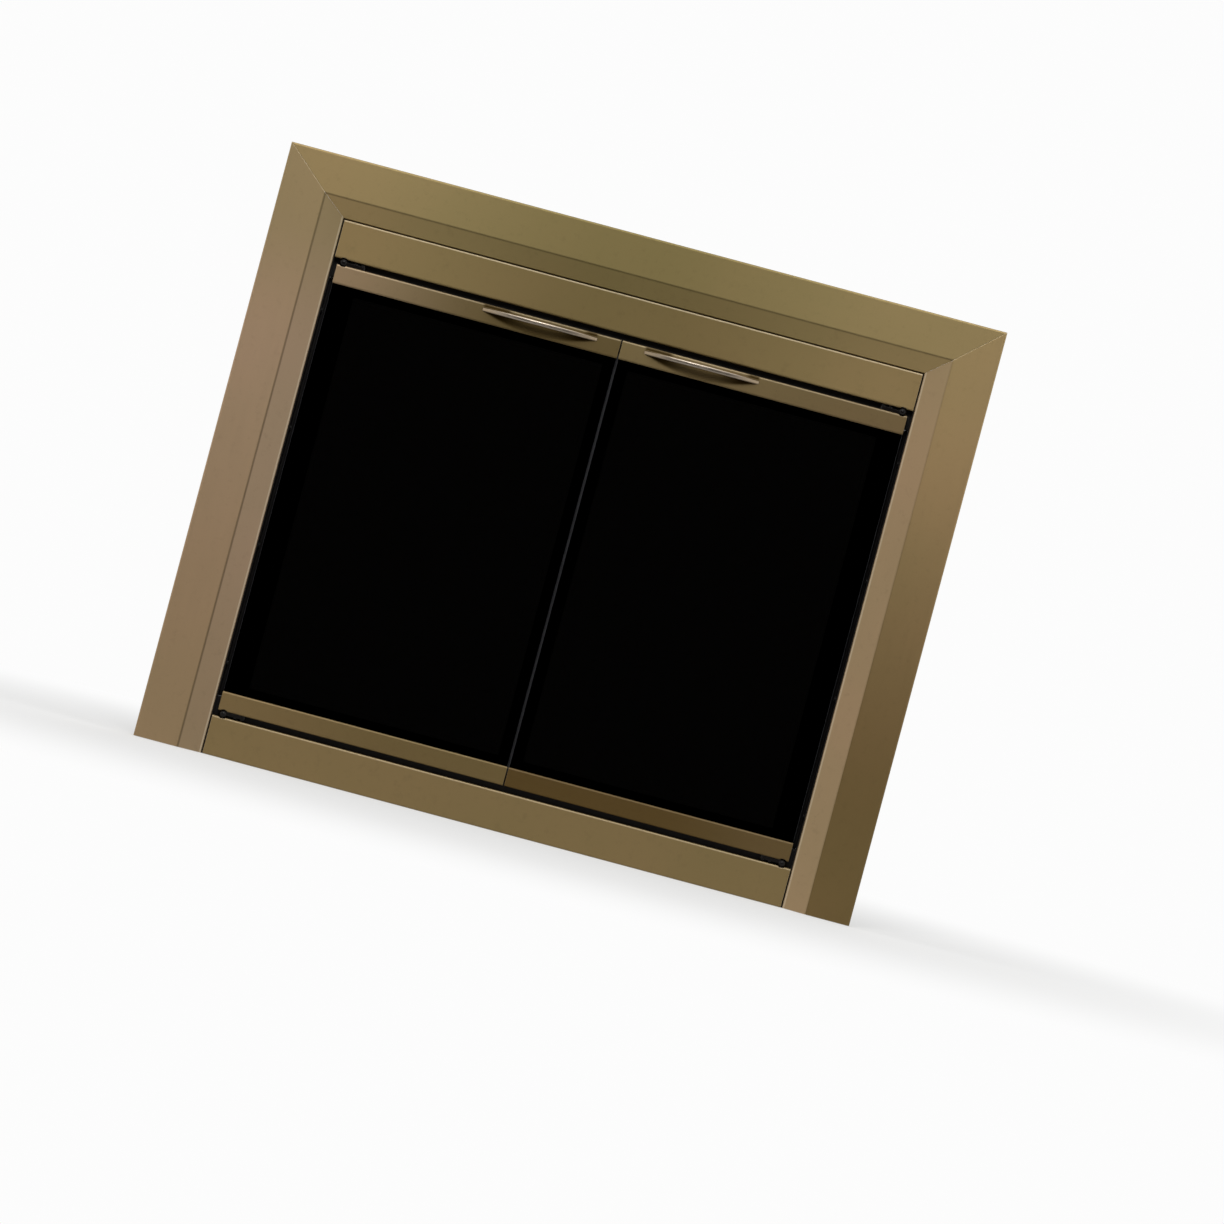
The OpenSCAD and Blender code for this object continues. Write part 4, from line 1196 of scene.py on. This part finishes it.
@dataclass
class MeshGate:
    """One gate: a bar frame that holds a panel of woven wire."""

    side: Side
    pitch: float = 0.0043
    wire_r: float = 0.00027
    crimp: float = 0.00026
    lap: float = 0.007
    wire_sides: int = 5
    fold_over: float = 0.0015
    tape_reach: float = 0.00009

    def build(self, finishes: dict[str, Material]) -> None:
        """Dresses the gate and weaves its panel.

        Args:
            finishes: each finish, by the part of the gate that it covers.
        """
        paint, wire, zinc, tape = (finishes[part] for part in ("paint", "wire", "zinc", "tape"))
        word = self.side.word
        dress(paint, f"{word}_gate_frame", f"{word}_gate_retainer", f"{word}_gate_pull")
        dress(zinc, f"{word}_gate_pins")
        self.meeting_tape(tape)
        node = f"{word}_gate_mesh"
        low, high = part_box(node)
        columns = self.rows(low.x, high.x)
        rows = self.rows(low.z, high.z)
        depth = (low.y + high.y) / 2
        odd = np.add.outer(np.arange(len(columns)), np.arange(len(rows))) % 2
        swell = np.outer(self.swell(columns, low.x, high.x), self.swell(rows, low.z, high.z))
        wave = np.where(odd, 1.0, -1.0) * swell * self.crimp
        x, z = np.meshgrid(columns, rows, indexing="ij")
        upright = np.stack([x, depth + wave, z], axis=2)
        level = np.stack([x, depth - wave, z], axis=2).transpose(1, 0, 2)
        points_a, faces_a = self.tubes(upright, (1.0, 0.0, 0.0))
        points_b, faces_b = self.tubes(level, (0.0, 0.0, 1.0))
        faces = faces_a + [tuple(i + len(points_a) for i in face) for face in faces_b]
        mesh = mesh_from(f"{word}_woven_wire", np.concatenate([points_a, points_b]), faces)
        stand_in(mesh, node, f"{word}_gate", "gate_mesh", wire)

    def meeting_tape(self, tape: Material) -> None:
        """Builds the braided tape on the meeting edge, which folds over the ends of the gate's bar.

        Args:
            tape: its finish.
        """
        node = f"{self.side.word}_gate_seal"
        low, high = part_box(node)
        bar_low, bar_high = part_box(f"{self.side.word}_gate_frame")
        outer = max(abs(low.x), abs(high.x))
        folded = outer + self.fold_over
        foot, head = low.z - self.tape_reach, high.z + self.tape_reach
        outline = (
            (0.0, foot), (folded, foot), (folded, bar_low.z), (outer, bar_low.z),
            (outer, bar_high.z), (folded, bar_high.z), (folded, head), (0.0, head),
        )
        work = bmesh.new()
        front, back = (
            [work.verts.new((self.side.value * x, y, z)) for x, z in outline] for y in (low.y, high.y)
        )
        for corners in ((0, 1, 2, 3), (0, 3, 4, 7), (4, 5, 6, 7)):
            for rim in (front, back):
                work.faces.new([rim[k] for k in corners])
        for k in range(len(outline)):
            work.faces.new((front[k], front[k - 1], back[k - 1], back[k]))
        bmesh.ops.recalc_face_normals(work, faces=work.faces)
        stand_in(mesh_of(f"{node}_tape", work), node, f"{self.side.word}_gate", "glass_seal", tape)

    def rows(self, start: float, end: float) -> np.ndarray:
        """Spaces the wires evenly between two edges.

        Args:
            start: lower edge of the panel.
            end: higher edge.

        Returns:
            The wires' places.
        """
        inset = self.wire_r
        count = round((end - start - 2 * inset) / self.pitch) + 1
        return np.linspace(start + inset, end - inset, count)

    def swell(self, places: np.ndarray, start: float, end: float) -> np.ndarray:
        """Says how far the weave is crimped: not where the frame clamps it, fully in the window."""
        inside = np.minimum(places - start, end - places) - self.lap
        return np.clip(inside / self.pitch, 0.0, 1.0)

    def tubes(self, paths: np.ndarray, across: Point) -> tuple[np.ndarray, list[Face]]:
        """Makes round wires along paths.

        Args:
            paths: one row of points per wire.
            across: direction across the wires, in the plane of the panel.

        Returns:
            The points and the faces, with closed ends.
        """
        wires, stops, _ = paths.shape
        n = self.wire_sides
        turn = 2 * np.pi * np.arange(n) / n
        ring = self.wire_r * (np.outer(np.cos(turn), across) + np.outer(np.sin(turn), (0.0, 1.0, 0.0)))
        points = (paths[:, :, None, :] + ring[None, None, :, :]).reshape(-1, 3)
        faces: list[Face] = []
        for wire in range(wires):
            first = wire * stops * n
            for stop in range(stops - 1):
                a = first + stop * n
                faces += [(a + k, a + (k + 1) % n, a + n + (k + 1) % n, a + n + k) for k in range(n)]
            last = first + (stops - 1) * n
            faces.append(tuple(first + k for k in reversed(range(n))))
            faces.append(tuple(last + k for k in range(n)))
        return points, faces


# ---- Studio ----


@dataclass(frozen=True)
class SoftLight:
    """A large soft lamp that points at one place."""

    name: str
    place: Point
    aim: Point
    width: float
    height: float
    watts: float

    def build(self) -> None:
        """Makes the lamp."""
        data = bpy.data.lights.new(self.name, "AREA")
        data.shape = "RECTANGLE"
        data.size, data.size_y = self.width, self.height
        data.energy = self.watts
        lamp = new_object(self.name, data)
        lamp.location = self.place
        ahead = Vector(self.aim) - Vector(self.place)
        lamp.rotation_euler = ahead.to_track_quat("-Z", "Y").to_euler()


@dataclass(frozen=True)
class PhotoCamera:
    """Camera of the photograph: square on to the doors, with the picture rolled."""

    image_px: float = 1224.0
    centre_px: tuple[float, float] = (570.43, 533.81)
    width_px: float = 740.9
    roll_deg: float = 14.96
    distance: float = 9.0
    sensor: float = 36.0
    handle_reach: float = 0.010
    clip_end: float = 60.0

    def build(self) -> None:
        """Makes the camera and hands it to the scene."""
        low, high = CAD_BOX
        band_y = low.y + self.handle_reach
        px_per_metre = self.width_px / (high.x - low.x)
        roll = math.radians(self.roll_deg)
        right = (self.image_px / 2 - self.centre_px[0]) / px_per_metre
        down = (self.image_px / 2 - self.centre_px[1]) / px_per_metre
        place = Vector((
            (low.x + high.x) / 2 + right * math.cos(roll) + down * math.sin(roll),
            band_y - self.distance,
            (low.z + high.z) / 2 + right * math.sin(roll) - down * math.cos(roll),
        ))
        data = bpy.data.cameras.new("photo_camera")
        data.sensor_width = self.sensor
        data.lens = self.sensor * self.distance * px_per_metre / self.image_px
        data.clip_end = self.clip_end
        camera = new_object("photo_camera", data)
        turn = Matrix.Rotation(math.pi / 2, 4, "X") @ Matrix.Rotation(roll, 4, "Z")
        camera.matrix_world = Matrix.Translation(place) @ turn
        bpy.context.scene.camera = camera


@dataclass(frozen=True)
class Studio:
    """Plain pale floor, white surroundings and soft lamps, with a dark flag in front.

    The flag is a part of the surroundings and of the floor, in front of the doors and low down,
    that only reflections see dark. It keeps the glass black, as it is in a dim room.
    """

    floor_size: float = 30.0
    floor_drop: float = 0.0006
    floor_colour: Colour = (0.84, 0.84, 0.83)
    white: float = 0.975
    fill: float = 0.42
    flag_turn: tuple[float, float] = (32.0, 50.0)
    flag_top: tuple[float, float] = (11.0, 20.0)
    flag_floor: tuple[float, float] = (0.5, 1.5)
    glow_reach: tuple[float, float] = (0.5, 1.6)
    glow_share: tuple[float, float] = (0.5, 1.0)

    def build(self) -> None:
        """Makes the floor, the surroundings and the lamps."""
        self.floor()
        self.surroundings()
        aim = (0.0, 0.0, 0.45)
        for name, place, width, height, watts in (
            ("key_lamp", (-0.12, -2.65, 2.16), 0.5, 1.0, 28.0),
            ("top_lamp", (0.0, -0.6, 2.8), 2.4, 1.2, 14.0),
            ("left_lamp", (-3.0, -1.4, 1.3), 1.4, 1.6, 7.0),
            ("right_lamp", (3.0, -1.4, 1.3), 1.4, 1.6, 7.0),
            ("back_lamp", (0.6, 2.8, 1.8), 1.8, 1.6, 26.0),
        ):
            SoftLight(name, place, aim, width, height, watts).build()
        bpy.context.scene.view_settings.view_transform = "Standard"

    def floor(self) -> None:
        """Makes the floor, which stays white away from the object's shadow."""
        half = self.floor_size / 2
        corners = ((-half, -half), (half, -half), (half, half), (-half, half))
        points = np.array([(x, y, -self.floor_drop) for x, y in corners])
        mesh = mesh_from("floor", points, [(0, 1, 2, 3)], smooth=False)
        surface = Surface.start("floor")
        surface.set(Base_Color=self.floor_colour, Roughness=0.9, Specular_IOR_Level=0.0)
        graph, place = surface.graph, surface.place
        ahead = graph.times(graph.split(place)["Y"], -1.0)
        white = self.seen_white(graph, place, graph.spread(ahead, *self.flag_floor))
        glow = graph.add("ShaderNodeEmission", inputs={"Strength": white})
        distance = graph.add("ShaderNodeVectorMath", place, operation="LENGTH").outputs["Value"]
        share = graph.times(graph.spread(distance, *self.glow_reach, *self.glow_share), self.seen(graph))
        both = (surface.shader.outputs["BSDF"], glow.outputs["Emission"])
        mix = graph.add("ShaderNodeMixShader", share, *both)
        result = graph.tree.nodes["Material Output"]
        graph.feed(result.inputs["Surface"], mix.outputs["Shader"])
        new_object("floor", mesh, surface.material)

    @staticmethod
    def seen(graph: Graph) -> Socket:
        """Tells the rays that show the surroundings from those that only light.

        Args:
            graph: the tree that needs it.

        Returns:
            1 for camera, glossy and transmission rays, else 0.
        """
        path = graph.add("ShaderNodeLightPath").outputs
        rays = (path[f"Is {kind} Ray"] for kind in ("Camera", "Glossy", "Transmission"))
        return reduce(partial(graph.math, "MAXIMUM"), rays)

    def seen_white(self, graph: Graph, where: Socket, depth: object = 1.0) -> Socket:
        """Finds the strength of the white that is seen, which reflections miss on the flag.

        Args:
            graph: the tree that needs it.
            where: place on the floor, or direction into the surroundings.
            depth: share of the flag's darkness that is left.

        Returns:
            The strength.
        """
        parts = graph.split(where)
        ahead = graph.times(parts["Y"], -1.0)
        turn = graph.math("ARCTAN2", graph.math("ABSOLUTE", parts["X"]), ahead)
        start, end = (math.radians(angle) for angle in self.flag_turn)
        low, high = (math.sin(math.radians(angle)) for angle in self.flag_top)
        flag = graph.times(
            graph.spread(turn, start, end, 1.0, 0.0),
            graph.spread(parts["Z"], low, high, 1.0, 0.0),
            graph.add("ShaderNodeLightPath").outputs["Is Glossy Ray"],
            depth,
        )
        return graph.math("MULTIPLY_ADD", flag, -self.white, self.white)

    def surroundings(self) -> None:
        """Makes the world: white where it is seen, and a softer fill where it only lights."""
        world = bpy.data.worlds.new("surroundings")
        bpy.context.scene.world = world
        world.use_nodes = True
        graph = Graph(world.node_tree)
        background = world.node_tree.nodes["Background"]
        direction = graph.add("ShaderNodeTexCoord").outputs["Generated"]
        strength = graph.spread(self.seen(graph), 0.0, 1.0, self.fill, self.seen_white(graph, direction))
        graph.feed(background.inputs["Strength"], strength)
        graph.feed(background.inputs["Color"], PLAIN)


# ---- Whole door set ----


def door_finishes() -> dict[str, Material]:
    """Makes the finishes that both doors share.

    Returns:
        Each finish, by the part of the door that it covers.
    """
    return {
        "glass": SmokedGlass().build(),
        "edge": GroundEdge().build(),
        "handle": HandleBrass().build(),
        "seal": WovenTape().build(),
        "hinge": BlackPaint("hinge_paint", roughness=0.26, dust_cover=0.02, shine=0.16).build(),
        "screw": BlackPaint("hinge_screws", roughness=0.25, dust_cover=0.1).build(),
        "zinc": PlainMetal("door_zinc", (0.50, 0.50, 0.49), (0.40, 0.39, 0.35)).build(),
    }


def main() -> None:
    """Builds the looks of every sub-assembly, then the studio and the camera."""
    logging.basicConfig(level=logging.INFO, format="%(name)s: %(message)s")
    PhotoCamera().build()
    Surround().build()
    FixedRails().build()
    CarryingFrame().build()
    InsulationBatts().build()
    finishes = door_finishes()
    finishes["paint"] = BlackPaint("gate_paint", dust_cover=0.4).build()
    finishes["wire"] = BlackPaint("woven_wire", roughness=0.5, dust_cover=0.5).build()
    # The gates' tape is a lighter copy of the seal tape: painted light, so that it still shows grey deep
    # in the meeting gap.
    finishes["tape"] = WovenTape("gate_tape", (0.038, 0.038, 0.040)).build()
    for side in Side:
        Door(side, finishes).build()
        MeshGate(side).build(finishes)
    Studio().build()


if __name__ == "__main__":
    main()
